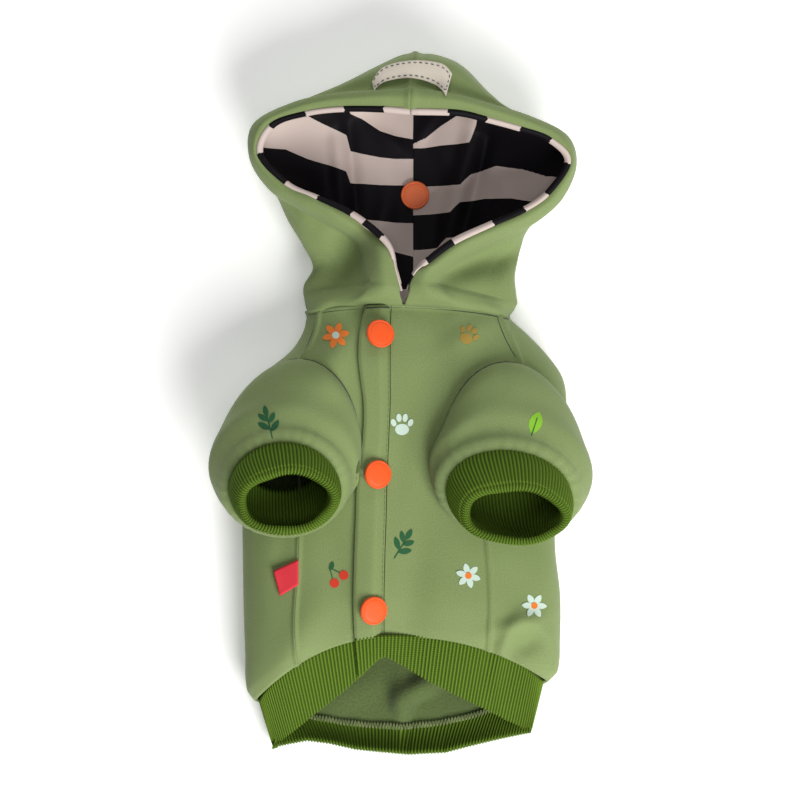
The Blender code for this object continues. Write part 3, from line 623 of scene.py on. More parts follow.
# Sleeves: short tubes of the same knit, wider than their cuffs, so that the cloth stands over the cuff in a roll
# with small gathers along the seam.
SLEEVE_WALL = 0.0016
SLEEVE_OUTWARD = 0.0185
SLEEVE_FREE_REACH = 0.028
SLEEVE_APPROACH = 0.010
SLEEVE_BLOUSE = 0.0008
SLEEVE_CORNER = 0.0045
ROLL_BACK = 0.0030
ROLL_OUT = 0.0044
ROLL_OVER = 0.0042
ROLL_TURN = math.radians(112)
ROLL_ROWS = 10
CUFF_HALF = 0.0228
CUFF_WALL = 0.0044
CUFF_RISE = 0.0645
SLEEVE_COLUMNS = 200
SLEEVE_ROWS = 46
GATHERS = 23
GATHER_DEEP = 0.00020


def cuff_frame(arm, share):
    """Middle, directions and half sizes of the cuff's ring at a share of the way from its seam to its rim."""
    mixed = {}
    for name in ("across", "along", "high", "wide", "tall", "lean"):
        mixed[name] = arm["seam_" + name] + (arm["rim_" + name] - arm["seam_" + name]) * share
    lean = math.radians(mixed["lean"])
    roll = math.radians(arm["roll"])
    axis = np.array([0, -math.sin(lean), math.cos(lean)])
    across = np.array([math.cos(roll), math.sin(roll), 0])
    across -= axis * across.dot(axis)
    across /= np.linalg.norm(across)
    upward = np.cross(axis, across)
    middle = np.array(
        [
            mixed["across"] * BODY_HALF - MODEL_MIDDLE[0],
            NECK_Y - mixed["along"] * FRONT_LENGTH - MODEL_MIDDLE[1],
            mixed["high"] * CUFF_RISE,
        ]
    )
    return middle, axis, across, upward, mixed["wide"] * CUFF_HALF, mixed["tall"] * CUFF_HALF


def ring_at(arm, share, angles, inward=0.0):
    middle, axis, across, upward, wide, tall = cuff_frame(arm, share)
    flare = np.cos(angles)[:, None] * across * (wide - inward) + np.sin(angles)[:, None] * upward * (tall - inward)
    return middle + flare, axis, flare / np.linalg.norm(flare, axis=1, keepdims=True)


def sleeve_points(arm):
    """From the armhole up, out and over to the cuff's seam."""
    angles = np.linspace(0, 2 * math.pi, SLEEVE_COLUMNS, endpoint=False)
    seam, axis, flare = ring_at(arm, 0.0, angles)
    turn = math.radians(arm["hole_turn"])
    across = np.array([math.cos(turn), math.sin(turn)])
    upward = np.array([-math.sin(turn), math.cos(turn)])
    outline = (
        hole_middle(arm)
        + np.cos(angles)[:, None] * across * ARMHOLE_HALF_WIDTH
        + np.sin(angles)[:, None] * upward * ARMHOLE_HALF_LENGTH
    )
    grid = np.zeros((SLEEVE_ROWS + 1 + ROLL_ROWS, SLEEVE_COLUMNS, 3))
    for index in range(SLEEVE_COLUMNS):
        x, y = outline[index]
        high, _ = drop_on(body_tree, x, y, otherwise=0.4 * CHEST_RISE)
        out = np.array([*(outline[index] - hole_middle(arm)), 0.0])
        out /= np.linalg.norm(out)
        start = np.array([x, y, high + 0.0002])
        end = seam[index] - axis * 0.0004
        reach = np.linalg.norm(end - start)
        freedom = min(1.0, reach / SLEEVE_FREE_REACH)
        outer_side = max(0.0, out[0] * arm["side"])
        upper_side = max(0.0, out[1])
        lower_side = max(0.0, -flare[index][1])
        corner = max(0.0, 0.85 * arm["side"] * flare[index][0] + 0.5 * flare[index][1]) ** 3
        swell = SLEEVE_OUTWARD * (0.20 + 0.72 * outer_side - 0.20 * upper_side) * freedom**2 * (1 - 0.4 * lower_side)
        climb = min(0.36 * SLEEVE_FREE_REACH * (1 + upper_side), 0.4 * reach)
        first = start + out * swell + np.array([0, 0, climb])
        round_out = ROLL_OUT * (0.40 + 0.60 * freedom)
        crest = end - axis * ROLL_BACK + flare[index] * round_out
        blouse = SLEEVE_BLOUSE * freedom * (1 - 0.5 * lower_side) + SLEEVE_CORNER * corner
        second = crest - axis * min(SLEEVE_APPROACH, 0.36 * reach) + flare[index] * blouse
        share = np.linspace(0, 1, SLEEVE_ROWS)[:, None]
        rest = 1 - share
        line = start * rest**3 + first * 3 * rest**2 * share + second * 3 * rest * share**2 + crest * share**3
        grid[0, index] = start - np.array([0, 0, 0.0014])
        grid[1 : SLEEVE_ROWS + 1, index] = line
        for step in range(1, ROLL_ROWS + 1):
            angle = ROLL_TURN * step / ROLL_ROWS
            round_point = flare[index] * (round_out * math.cos(angle)) + axis * (ROLL_OVER * math.sin(angle))
            grid[SLEEVE_ROWS + step, index] = end - axis * ROLL_BACK + round_point
    return grid, angles


def gather_ripples(grid, angles, seed):
    """Small gathers that run in from the cuff's seam and die out."""
    noise = np.random.default_rng(seed)
    wave = np.zeros(len(angles))
    for count in (GATHERS, GATHERS + 8, GATHERS + 15):
        wave += noise.uniform(0.4, 1.0) * np.sin(count * angles + noise.uniform(0, 6.28))
    down = distance_along(grid, 0)
    from_seam = down[-1:] - down
    fade = np.exp(-from_seam / 0.006) * np.clip(from_seam / 0.002, 0, 1)
    return GATHER_DEEP * wave * fade


SLEEVE_FOLDS = {
    -1: (
        (260, 428, 20, 18, 7, 1.2),
        (300, 412, 8, 26, 8, -1.3),
        (240, 470, 60, 12, 6, 0.8),
        (340, 430, 100, 14, 5, 0.6),
    ),
    1: (
        (520, 425, -8, 26, 8, -1.2),
        (560, 450, -60, 14, 6, 0.9),
        (452, 440, 60, 16, 5, 0.8),
        (490, 405, 20, 14, 6, 0.6),
    ),
}
SLEEVE_HOLLOW = 0.0030


def hollow(grid):
    """The cloth sinks a little before it rises to the roll beside the cuff."""
    down = distance_along(grid, 0)
    from_seam = down[-1:] - down
    reach = np.clip((down[-1:] - 0.014) / 0.02, 0, 1)
    return SLEEVE_HOLLOW * np.exp(-(((from_seam - 0.0185) / 0.008) ** 2)) * reach


sleeve_grids = []
for arm in arms:
    side = "left" if arm["side"] < 0 else "right"
    grid, angles = sleeve_points(arm)
    facing = grid_normals(grid, wrap=True)
    grid = grid + facing * (gather_ripples(grid, angles, 3 + arm["side"]) - hollow(grid))[..., None]
    grid[2:-2, :, 2] += lift_of_folds(SLEEVE_FOLDS[arm["side"]], grid[2:-2, :, 0], grid[2:-2, :, 1])
    for spot in grid[2:].reshape(-1, 3):
        high, _ = drop_on(placket_tree, spot[0], spot[1], otherwise=0.0)
        spot[2] = max(spot[2], high + 0.0004 if high else 0.0)
    sleeve_grids.append(grid)
    sleeve = make_sheet(side + "_sleeve_cloth", grid, (sage_cloth, fleece_inside), SLEEVE_WALL, wrap=True)
    finish_piece(sleeve, "sage_cloth", side + "_sleeve")

# Cuffs: tubes of green rib, folded double, so that the rim is a rounded fold. The ribs run along the arm.
RIB_PITCH = 0.00172
RIB_DEEP = 0.00036
RIB_STEPS = 8
RIB_GREEN = (0.125, 0.215, 0.022, 1)


def rib_material(name):
    """Ribbed knit: leaf green on the ribs, with painted shade darkening the channels between them, and the stitches'
    small bump.
    """
    material, tree, shader = principled(name, RIB_GREEN, 0.8)
    shader.inputs["Specular IOR Level"].default_value = 0.1
    place = tree.nodes.new("ShaderNodeUVMap")
    place.uv_map = "cloth"
    parts = tree.nodes.new("ShaderNodeSeparateXYZ")
    tree.links.new(place.outputs["UV"], parts.inputs["Vector"])
    turn = tree.nodes.new("ShaderNodeMath")
    turn.operation = "MULTIPLY"
    turn.inputs[1].default_value = 2 * math.pi
    tree.links.new(parts.outputs["X"], turn.inputs[0])
    wave = tree.nodes.new("ShaderNodeMath")
    wave.operation = "COSINE"
    tree.links.new(turn.outputs["Value"], wave.inputs[0])
    depth = tree.nodes.new("ShaderNodeMapRange")
    depth.inputs["From Min"].default_value = -1.0
    depth.inputs["From Max"].default_value = 0.6
    tree.links.new(wave.outputs["Value"], depth.inputs["Value"])
    # Painted shade: the channels between the ribs are coloured darker than the ribs.
    mix = tree.nodes.new("ShaderNodeMix")
    mix.data_type = "RGBA"
    mix.inputs["A"].default_value = (0.042, 0.080, 0.008, 1)
    mix.inputs["B"].default_value = RIB_GREEN
    tree.links.new(depth.outputs["Result"], mix.inputs["Factor"])
    tree.links.new(mix.outputs["Result"], shader.inputs["Base Color"])
    stitch = tree.nodes.new("ShaderNodeMath")
    stitch.operation = "MULTIPLY"
    stitch.inputs[1].default_value = 2 * math.pi / 0.0011
    tree.links.new(parts.outputs["Y"], stitch.inputs[0])
    knit = tree.nodes.new("ShaderNodeMath")
    knit.operation = "SINE"
    tree.links.new(stitch.outputs["Value"], knit.inputs[0])
    relief = tree.nodes.new("ShaderNodeBump")
    relief.inputs["Strength"].default_value = 0.5
    relief.inputs["Distance"].default_value = 0.0002
    tree.links.new(knit.outputs["Value"], relief.inputs["Height"])
    tree.links.new(relief.outputs["Normal"], shader.inputs["Normal"])
    return material


green_rib = rib_material("green_rib_knit")


def make_rib(name, grid, ribs, closed_across, flip=False):
    """A closed tube of rib from a grid whose rows go round the strip's section and whose columns go along it."""
    rows, columns = grid.shape[:2]
    order = np.arange(rows * columns).reshape(rows, columns)
    down = np.roll(order, -1, axis=0)
    right = np.roll(order, -1, axis=1)
    both = np.roll(down, -1, axis=1)
    last = columns if closed_across else columns - 1
    quads = np.stack([order[:, :last], right[:, :last], both[:, :last], down[:, :last]], axis=-1).reshape(-1, 4)
    corner = np.stack(np.meshgrid(np.arange(rows), np.arange(last), indexing="ij"), axis=-1).reshape(-1, 2)
    length = distance_along(grid, 0)
    length = np.concatenate([length, length[-1:] + np.linalg.norm(grid[-1] - grid[0], axis=-1)[None]], axis=0)
    length = np.concatenate([length, length[:, :1]], axis=1)
    rib = np.concatenate([ribs, [ribs[-1] + ribs[1] - ribs[0]]])
    steps = [(0, 0), (0, 1), (1, 1), (1, 0)]
    if flip:
        quads = quads[:, ::-1]
        steps = steps[::-1]
    faces = quads.tolist()
    if not closed_across:
        faces += [order[:, 0].tolist(), order[::-1, -1].tolist()]
    mesh = bpy.data.meshes.new(name)
    mesh.from_pydata(grid.reshape(-1, 3).tolist(), [], faces)
    cloth = mesh.uv_layers.new(name="cloth")
    places = np.stack(
        [
            np.stack([rib[corner[:, 1] + b], length[corner[:, 0] + a, corner[:, 1] + b]], axis=-1)
            for a, b in steps
        ],
        axis=1,
    ).ravel()
    values = np.zeros(len(mesh.loops) * 2)
    values[: len(places)] = places
    cloth.data.foreach_set("uv", values)
    mesh.materials.append(green_rib)
    obj = put_in_scene(name, mesh)
    tidy_normals(obj)
    obj.data.shade_smooth()
    return obj


CUFF_TUCK = 0.0009
CUFF_BEND = 0.011
CUFF_NARROW = 0.003


def cuff_points(arm):
    around, _, _ = ring_at(arm, 0.5, np.linspace(0, 2 * math.pi, 400))
    length = np.linalg.norm(np.diff(around, axis=0), axis=1)
    count = int(round(length.sum() / RIB_PITCH))
    travelled = np.concatenate([[0], np.cumsum(length)]) / length.sum()
    columns = count * RIB_STEPS
    angles = np.interp(np.arange(columns) / columns, travelled, np.linspace(0, 2 * math.pi, 400))
    ribs = np.arange(columns) / RIB_STEPS
    ridge = RIB_DEEP * (np.cos(2 * math.pi * ribs) - 0.4)
    sag = 0.0007 * np.sin(2 * angles + 0.6) + 0.0005 * np.sin(5 * angles + 1.1)
    half = 0.5 * CUFF_WALL
    profile = [(share, 0.0, 0.0, 1.0) for share in np.linspace(-0.05, 0.97, 14)]
    for step in range(13):
        angle = math.pi * step / 12
        profile.append((1.0, half - half * math.cos(angle), half * math.sin(angle) - 0.3 * half, math.cos(angle)))
    profile += [(share, CUFF_WALL, 0.0, -1.0) for share in np.linspace(0.95, -0.9, 18)]
    profile += [(share, CUFF_WALL - 0.0012, 0.0, 1.0) for share in (-0.9, -0.5)]
    rows = []
    for share, inward, past, out in profile:
        ring, axis, flare = ring_at(arm, share, angles, inward)
        swell = 0.0009 * math.sin(math.pi * min(max(share, 0), 1))
        rise = ridge * math.sqrt(max(0.0, 1 - out * out))
        settle = sag * max(share, 0) ** 2 - CUFF_TUCK * max(0.0, 1 - abs(share) / 0.3)
        ring = ring + flare * (ridge * out + swell * out + settle)[:, None] + axis * (past + rise)[:, None]
        inside = max(0.0, 0.2 - share) ** 2
        ring = ring + np.array([0, CUFF_BEND * inside, 0]) - flare * (CUFF_NARROW * inside)
        rows.append(ring)
    return np.array(rows), ribs


for arm in arms:
    side = "left" if arm["side"] < 0 else "right"
    grid, ribs = cuff_points(arm)
    cuff = make_rib(side + "_cuff_rib", grid, ribs, closed_across=True)
    finish_piece(cuff, "green_rib", side + "_cuff")

# Hem band: one strip of the same rib, folded double and sewn round the body's lower edge. Its right end lies on
# top of its left end under the placket.
# The band's folded edge on the belly side and on the table: column and row of the picture, and height in millimetres.
HEM_FRONT_EDGE = (
    (271, 747, 7),
    (292, 732, 11),
    (320, 709, 17),
    (343, 691, 22),
    (363, 673, 26.5),
    (379, 658, 30),
    (386, 656, 31),
    (404, 665, 30.5),
    (430, 681, 28.5),
    (455, 693.5, 25),
    (481, 706, 20),
    (506, 719, 13.5),
    (532, 732, 7),
)
HEM_BACK_EDGE = (
    (271, 747, 7),
    (284, 744.5, 6.5),
    (306, 741, 7),
    (328, 744, 8),
    (355, 750, 8),
    (379, 752.5, 8),
    (409, 755, 8),
    (446, 753, 8),
    (465, 748, 8),
    (501, 739, 7),
    (532, 732, 7),
)
HEM_SEAM_COLUMNS = (253, 386, 547)
HEM_EDGE_COLUMNS = (271, 385, 532)
HEM_UNDERLAP = 0.0009
HEM_TUCK = 0.0026
HEM_BULGE = 0.0008
HEM_WALL = 0.0026
HEM_SPAN = 0.92
HEM_LAP_RISE = 0.0033
HEM_LAP_REACH = 0.022


def hem_points():
    ends = []
    for place in (-1, -6):
        left, right, lap = (grid[place][::-1] for grid in (left_points, right_points, placket_flat))
        ends.append(np.concatenate([left, back_points[place][1:-1], right, lap[1:]]))
    line, before = ends
    ways = line - before
    ways /= np.linalg.norm(ways, axis=1, keepdims=True)
    travelled = np.concatenate([[0], np.cumsum(np.linalg.norm(np.diff(line, axis=0), axis=1))])
    lap_start = travelled[-1] - np.linalg.norm(np.diff(placket_flat[-1], axis=0), axis=1).sum()
    count = int(round(travelled[-1] / RIB_PITCH))
    wanted = np.linspace(0, travelled[-1], count * RIB_STEPS + 1)
    line = np.stack([np.interp(wanted, travelled, line[:, axis]) for axis in range(3)], axis=-1)
    ways = np.stack([np.interp(wanted, travelled, ways[:, axis]) for axis in range(3)], axis=-1)
    x = line[:, 0] + MODEL_MIDDLE[0]
    out = np.minimum(np.abs(x) / (HEM_SPAN * BODY_HALF), 1.0)
    on_top = line[:, 2] > 0.5 * CHEST_RISE * (1 - 0.5 * out)
    climbed = np.clip((wanted - lap_start + HEM_LAP_REACH) / HEM_LAP_REACH, 0, 1)
    lift = HEM_LAP_RISE * ease(climbed)
    ribs = wanted / RIB_PITCH
    ridge = RIB_DEEP * (np.cos(2 * math.pi * ribs) - 0.4)
    column = x / PICTURE_STEP + PICTURE_ZERO[0]
    edge_column = np.interp(column, HEM_SEAM_COLUMNS, HEM_EDGE_COLUMNS)
    edge = np.zeros_like(line)
    for table, where in ((HEM_FRONT_EDGE, on_top), (HEM_BACK_EDGE, ~on_top)):
        table = np.array(table)
        row = np.interp(edge_column, table[:, 0], table[:, 1])
        place_x, place_y = picture_place(edge_column, row)
        high = np.interp(edge_column, table[:, 0], table[:, 2]) / 1000
        edge[where] = np.stack([place_x, place_y, high], axis=-1)[where]
    start = line - ways * HEM_UNDERLAP
    start[:, 0] -= HEM_TUCK * np.sign(x) * out**8
    middle_rows = []
    for share in np.linspace(0, 1, 16):
        point = start + (edge - start) * share
        curl = np.where(on_top, HEM_BULGE * 4 * share * (1 - share), -edge[:, 2] * share * (1 - share))
        point[:, 2] = np.maximum(point[:, 2] + curl + lift, 0.0)
        middle_rows.append(point)
    outer = np.array(middle_rows)
    facing = grid_normals(outer)
    if facing[8, len(wanted) // 12, 2] < 0:
        facing = -facing
    outer[0] -= facing[0] * 0.0005
    inner = outer - facing * HEM_WALL
    fold_middle = 0.5 * (outer[-1] + inner[-1])
    along = outer[-1] - outer[-2]
    along /= np.linalg.norm(along, axis=1, keepdims=True)
    rows = [row + facing[i] * ridge[:, None] for i, row in enumerate(outer)]
    for step in range(1, 7):
        angle = math.pi * step / 7
        arc = fold_middle + facing[-1] * (0.5 * HEM_WALL * math.cos(angle)) + along * (0.5 * HEM_WALL * math.sin(angle))
        push = facing[-1] * math.cos(angle) + along * math.sin(angle)
        rows.append(arc + push * ridge[:, None])
    rows += [row - facing[15 - i] * ridge[:, None] for i, row in enumerate(inner[::-1])]
    grid = np.array(rows)
    grid[..., 2] = np.maximum(grid[..., 2], 0.0)
    return grid, ribs


hem_grid, hem_ribs = hem_points()
hem = make_rib("hem_band_rib", hem_grid, hem_ribs, closed_across=False)
finish_piece(hem, "green_rib", "hem_band")

# Hood: two halves of the knit, joined by a seam over the crown. The cloth turns in over the rim as a soft roll,
# and the back lies flat on the table.
HOOD_LENGTH = 0.120
HOOD_HALF = 0.0765
HOOD_RISE = 0.050
HOOD_WALL = 0.0017
HOOD_ROWS = 150
HOOD_COLUMNS = 110
HOOD_START = 16
HOOD_NAMES = (
    "way",
    "edge_across",
    "edge_along",
    "edge_high",
    "band_across",
    "band_along",
    "band_high",
    "wide_across",
    "wide_along",
    "wide_high",
)
HOOD_TABLES = {
    -1: (
        (0.00, 0.030, 0.018, 0.86, -0.130, 0.012, 0.86, -0.575, 0.004, 0.36),
        (0.10, -0.010, 0.110, 0.88, -0.180, 0.125, 0.83, -0.575, 0.080, 0.36),
        (0.19, -0.070, 0.222, 0.88, -0.230, 0.240, 0.80, -0.520, 0.150, 0.36),
        (0.30, -0.296, 0.343, 0.84, -0.420, 0.320, 0.74, -0.580, 0.235, 0.36),
        (0.40, -0.510, 0.411, 0.80, -0.620, 0.385, 0.70, -0.665, 0.330, 0.36),
        (0.49, -0.693, 0.468, 0.76, -0.785, 0.450, 0.66, -0.715, 0.420, 0.34),
        (0.58, -0.858, 0.586, 0.74, -0.905, 0.570, 0.62, -0.800, 0.560, 0.32),
        (0.67, -0.780, 0.700, 0.78, -0.880, 0.705, 0.66, -0.790, 0.720, 0.30),
        (0.76, -0.565, 0.746, 0.86, -0.630, 0.785, 0.80, -0.575, 0.800, 0.28),
        (0.85, -0.333, 0.763, 0.92, -0.370, 0.815, 0.92, -0.310, 0.875, 0.26),
        (0.93, -0.089, 0.763, 0.96, -0.110, 0.825, 0.98, -0.090, 0.950, 0.26),
        (0.965, -0.008, 0.760, 0.96, -0.016, 0.828, 0.98, 0.030, 0.985, 0.26),
        (1.00, 0.076, 0.756, 0.96, 0.082, 0.830, 0.99, 0.109, 0.990, 0.26),
    ),
    1: (
        (0.00, 0.044, 0.018, 0.86, 0.200, 0.000, 0.84, 0.745, -0.040, 0.36),
        (0.10, 0.107, 0.112, 0.88, 0.260, 0.120, 0.83, 0.730, 0.040, 0.36),
        (0.18, 0.198, 0.160, 0.88, 0.360, 0.170, 0.80, 0.720, 0.110, 0.36),
        (0.27, 0.351, 0.230, 0.84, 0.490, 0.215, 0.76, 0.735, 0.170, 0.36),
        (0.38, 0.589, 0.304, 0.80, 0.690, 0.270, 0.72, 0.755, 0.235, 0.36),
        (0.48, 0.785, 0.362, 0.76, 0.875, 0.335, 0.66, 0.780, 0.300, 0.34),
        (0.56, 0.937, 0.432, 0.74, 1.016, 0.421, 0.62, 0.900, 0.400, 0.32),
        (0.64, 1.059, 0.560, 0.74, 1.096, 0.548, 0.62, 0.990, 0.545, 0.30),
        (0.72, 0.937, 0.646, 0.78, 1.035, 0.660, 0.68, 0.930, 0.680, 0.28),
        (0.80, 0.754, 0.687, 0.84, 0.800, 0.733, 0.78, 0.705, 0.750, 0.27),
        (0.87, 0.546, 0.724, 0.90, 0.560, 0.775, 0.90, 0.545, 0.840, 0.26),
        (0.93, 0.388, 0.748, 0.94, 0.385, 0.805, 0.96, 0.385, 0.945, 0.26),
        (0.965, 0.232, 0.754, 0.95, 0.232, 0.822, 0.98, 0.240, 0.985, 0.26),
        (1.00, 0.076, 0.756, 0.96, 0.082, 0.830, 0.99, 0.109, 0.990, 0.26),
    ),
}
CROWN_BULGE = 0.0150
NECK_PUFF = 0.0026
NECK_OVERHANG = 0.0016
HOOD_FOLDS = (
    (349, 252, 62, 24, 10, -10.5),
    (490, 256, 22, 24, 8, -9.5),
    (322, 300, 20, 20, 6, 2.5),
    (455, 285, 35, 24, 7, 1.8),
    (325, 285, 75, 18, 7, 1.6),
    (505, 290, 80, 18, 6, 1.4),
    (300, 232, 80, 18, 5, 1.2),
    (385, 70, 20, 14, 5, 0.9),
    (470, 88, -35, 16, 5, 0.8),
    (350, 92, 30, 16, 5, -0.7),
)


def smooth_through(points, steps=12):
    """Smooth lines through a few points each: many lines at once."""
    count = points.shape[1]
    line = []
    for index in range(count - 1):
        before = points[:, max(index - 1, 0)]
        after = points[:, min(index + 2, count - 1)]
        start, end = points[:, index], points[:, index + 1]
        for step in range(steps):
            share = step / steps
            square, cube = share * share, share**3
            line.append(
                0.5
                * (
                    2 * start
                    + (end - before) * share
                    + (2 * before - 5 * start + 4 * end - after) * square
                    + (3 * start - before - 3 * end + after) * cube
                )
            )
    line.append(points[:, -1])
    return np.stack(line, axis=1)


def hood_place(row, name):
    x = row[name + "_across"] * HOOD_HALF - MODEL_MIDDLE[0]
    y = row[name + "_along"] * HOOD_LENGTH + NECK_Y + SEAM_GAP - MODEL_MIDDLE[1]
    return np.stack([x, y, row[name + "_high"] * HOOD_RISE], axis=-1)


def hood_controls(ways, side):
    """The named places of the hood's section at many ways round the rim."""
    row = rows_at(HOOD_TABLES[side], HOOD_NAMES, ways)
    edge = hood_place(row, "edge")
    band = hood_place(row, "band")
    wide = hood_place(row, "wide")
    spine = np.stack(
        [
            np.full(len(ways), 0.06 * HOOD_HALF - MODEL_MIDDLE[0]),
            ways * 0.86 * HOOD_LENGTH + NECK_Y + SEAM_GAP - MODEL_MIDDLE[1],
            np.zeros(len(ways)),
        ],
        axis=-1,
    )
    return edge, band, wide, spine


def collar_line(side, columns):
    row = row_of(BODY_TABLE, BODY_NAMES, 0.0)
    start = turn_at(row, 0.037 * HOOD_HALF + side * 0.0005)
    end = -math.pi / 2 if side > 0 else 1.5 * math.pi
    line = body_surface(row, np.linspace(start, end, 300))
    return at_shares(line, np.linspace(0, 1, columns))


def up_by(points, rise):
    moved = points.copy()
    moved[:, 2] += rise
    return moved


def hood_points(side):
    ways = np.linspace(0, 1, HOOD_ROWS)
    edge, band, wide, spine = hood_controls(ways, side)
    roll_in = edge + np.array([0, 0, -0.0012])
    crest = up_by(0.5 * (edge + band), 0.06 * HOOD_RISE)
    crown = ease((ways - 0.70) / 0.2)[:, None]
    crease = band + (wide - band) * (0.12 - 0.06 * crown)
    crease = up_by(crease, -0.0032)
    bulge = band + (wide - band) * (0.55 + 0.23 * crown)
    bulge[:, 2] += 0.0015 + CROWN_BULGE * crown[:, 0]
    floor = wide + (spine - wide) * 0.22
    floor[:, 2] = 0.03 * HOOD_RISE
    inner = wide + (spine - wide) * 0.45
    inner[:, 2] = 0.0
    controls = np.stack([roll_in, edge, crest, band, crease, bulge, wide, floor, inner, spine], axis=1)
    fine = smooth_through(controls)
    shares = np.linspace(0, 1, HOOD_COLUMNS) ** 1.25
    grid = np.array([at_shares(line, shares) for line in fine])
    collar = collar_line(side, HOOD_COLUMNS)
    first = int(HOOD_ROWS / HOOD_START)
    base = grid[first].copy()
    for index in range(first):
        share = index / first
        mixed = collar + (base - collar) * share
        puff = math.sin(math.pi * share)
        reach = np.abs(collar[:, 0]).max() * (1 - share) + np.abs(base[:, 0]).max() * share
        mixed[:, 0] *= reach / np.abs(mixed[:, 0]).max()
        grid[index] = mixed + np.array([0, 0.0005 - NECK_OVERHANG * puff, NECK_PUFF * puff**0.6])
    grid[..., 2] += lift_of_folds(HOOD_FOLDS, grid[..., 0], grid[..., 1]) * np.clip((grid[..., 2] - 0.012) / 0.01, 0, 1)
    grid[..., 2] = np.maximum(grid[..., 2], 0.0)
    grid[-1, :, 0] += side * 0.5 * SEAM_GAP
    return grid


hood_grids = {}
for side, word in ((-1, "left"), (1, "right")):
    grid = hood_points(side)
    hood_grids[side] = grid
    flip = side < 0
    facing = grid_normals(grid) * (-1 if flip else 1)
    sunk = sink_edges(grid, facing, "ud", depth=0.0013, wide=0.0019)
    sunk[..., 2] = np.maximum(sunk[..., 2], 0.0)
    piece = make_sheet("hood_" + word + "_cloth", sunk, (sage_cloth,), HOOD_WALL, flip=flip)
    finish_piece(piece, "sage_cloth", "hood_" + word)
hood_tree = grid_tree(list(hood_grids.values()))

# Hood lining: striped jersey in two halves, sewn to the rim and hanging in loose folds, with a seam down the back.
LINING_WALL = 0.0009
LINING_CREAM = (0.62, 0.52, 0.48, 1)
LINING_BLACK = (0.006, 0.005, 0.007, 1)
LINING_ROWS = 200
LINING_COLUMNS = 150
LINING_SEAM_SHIFT = 0.0028
LINING_FOLDS = (
    (340, 170, 95, 30, 4.2, 3.4),
    (352, 176, 95, 30, 3.6, -2.6),
    (464, 168, 76, 32, 4.6, 3.8),
    (479, 172, 76, 32, 3.8, -3.0),
    (384, 215, 88, 30, 5, 1.2),
    (398, 245, 80, 20, 4, -1.0),
    (372, 240, 70, 26, 4, 1.3),
    (395, 140, 150, 14, 4, 1.8),
    (420, 132, 60, 12, 3, 2.2),
    (445, 150, 100, 12, 5, 1.4),
    (438, 205, 85, 18, 4, -0.9),
    (520, 175, 10, 18, 5, 1.2),
    (505, 195, 100, 12, 4, 1.2),
    (300, 160, 20, 20, 5, 1.0),
    (320, 185, 70, 14, 5, -1.0),
)
# Where the stripes change, from the top down: a table of columns of the picture, and the row of each change there.
STRIPE_TABLES = {
    -1: (
        (250, 90, 98, 146, 192, 240, 285, 330),
        (285, 92, 104, 147, 197, 240, 285, 330),
        (307, 94, 114, 156, 201, 240, 285, 330),
        (328, 96, 123, 161.5, 204, 240, 285, 330),
        (346, 99, 131, 168, 207, 240, 285, 330),
        (350, 110, 147, 179.5, 215, 240, 284, 320),
        (362, 115, 150, 180, 216, 242, 285, 320),
        (380, 127, 153.5, 181.5, 218, 245, 286, 320),
        (395, 132, 155, 181.7, 219.5, 249, 286.5, 320),
        (418, 136, 155, 181.8, 220, 255, 287, 320),
    ),
    1: (
        (410, 60, 142, 144.5, 183, 212, 247, 290),
        (427, 61, 134, 143.6, 183, 211.5, 247, 290),
        (441, 61, 122, 141.5, 182.6, 211, 246.5, 290),
        (455, 61, 113, 140.5, 182.2, 210, 246, 290),
        (472, 61, 105, 138.7, 181.5, 209, 245, 290),
        (479, 61, 70, 105, 171, 199, 235, 280),
        (503, 61, 70, 105, 162.5, 195.5, 232, 275),
        (530, 61, 70, 105, 167, 196, 230, 270),
        (556, 61, 70, 105, 175, 201, 230, 270),
        (590, 61, 70, 105, 178, 203, 230, 270),
    ),
}
FOLD_LEAN = ((474, 90), (476, 122), (468, 170), (454, 205), (438, 248), (418, 290), (405, 320))


def stripe_phase(side, x, y):
    """Number of stripes above a place, counted down the hood, with the part of the stripe that it is in."""
    column = (x + MODEL_MIDDLE[0]) / PICTURE_STEP + PICTURE_ZERO[0]
    row = PICTURE_ZERO[1] - (y + MODEL_MIDDLE[1]) / PICTURE_STEP
    if side > 0:
        lean = np.array(FOLD_LEAN)
        fold = np.interp(row, lean[:, 1], lean[:, 0])
        column = column + np.where(column > 410, (475 - fold) * np.clip((column - 413) / (fold - 413 + 1e-6), 0, 1), 0)
    table = np.array(STRIPE_TABLES[side])
    changes = np.stack([np.interp(column, table[:, 0], table[:, k]) for k in range(1, table.shape[1])], axis=-1)
    phase = np.zeros_like(row)
    for k in range(changes.shape[-1] - 1):
        share = np.clip((row - changes[..., k]) / np.maximum(changes[..., k + 1] - changes[..., k], 1e-6), 0, 1)
        phase += share
    phase = np.where(row < changes[..., 0], np.maximum(-0.98, (row - changes[..., 0]) / 30), phase)
    return phase + 1.0


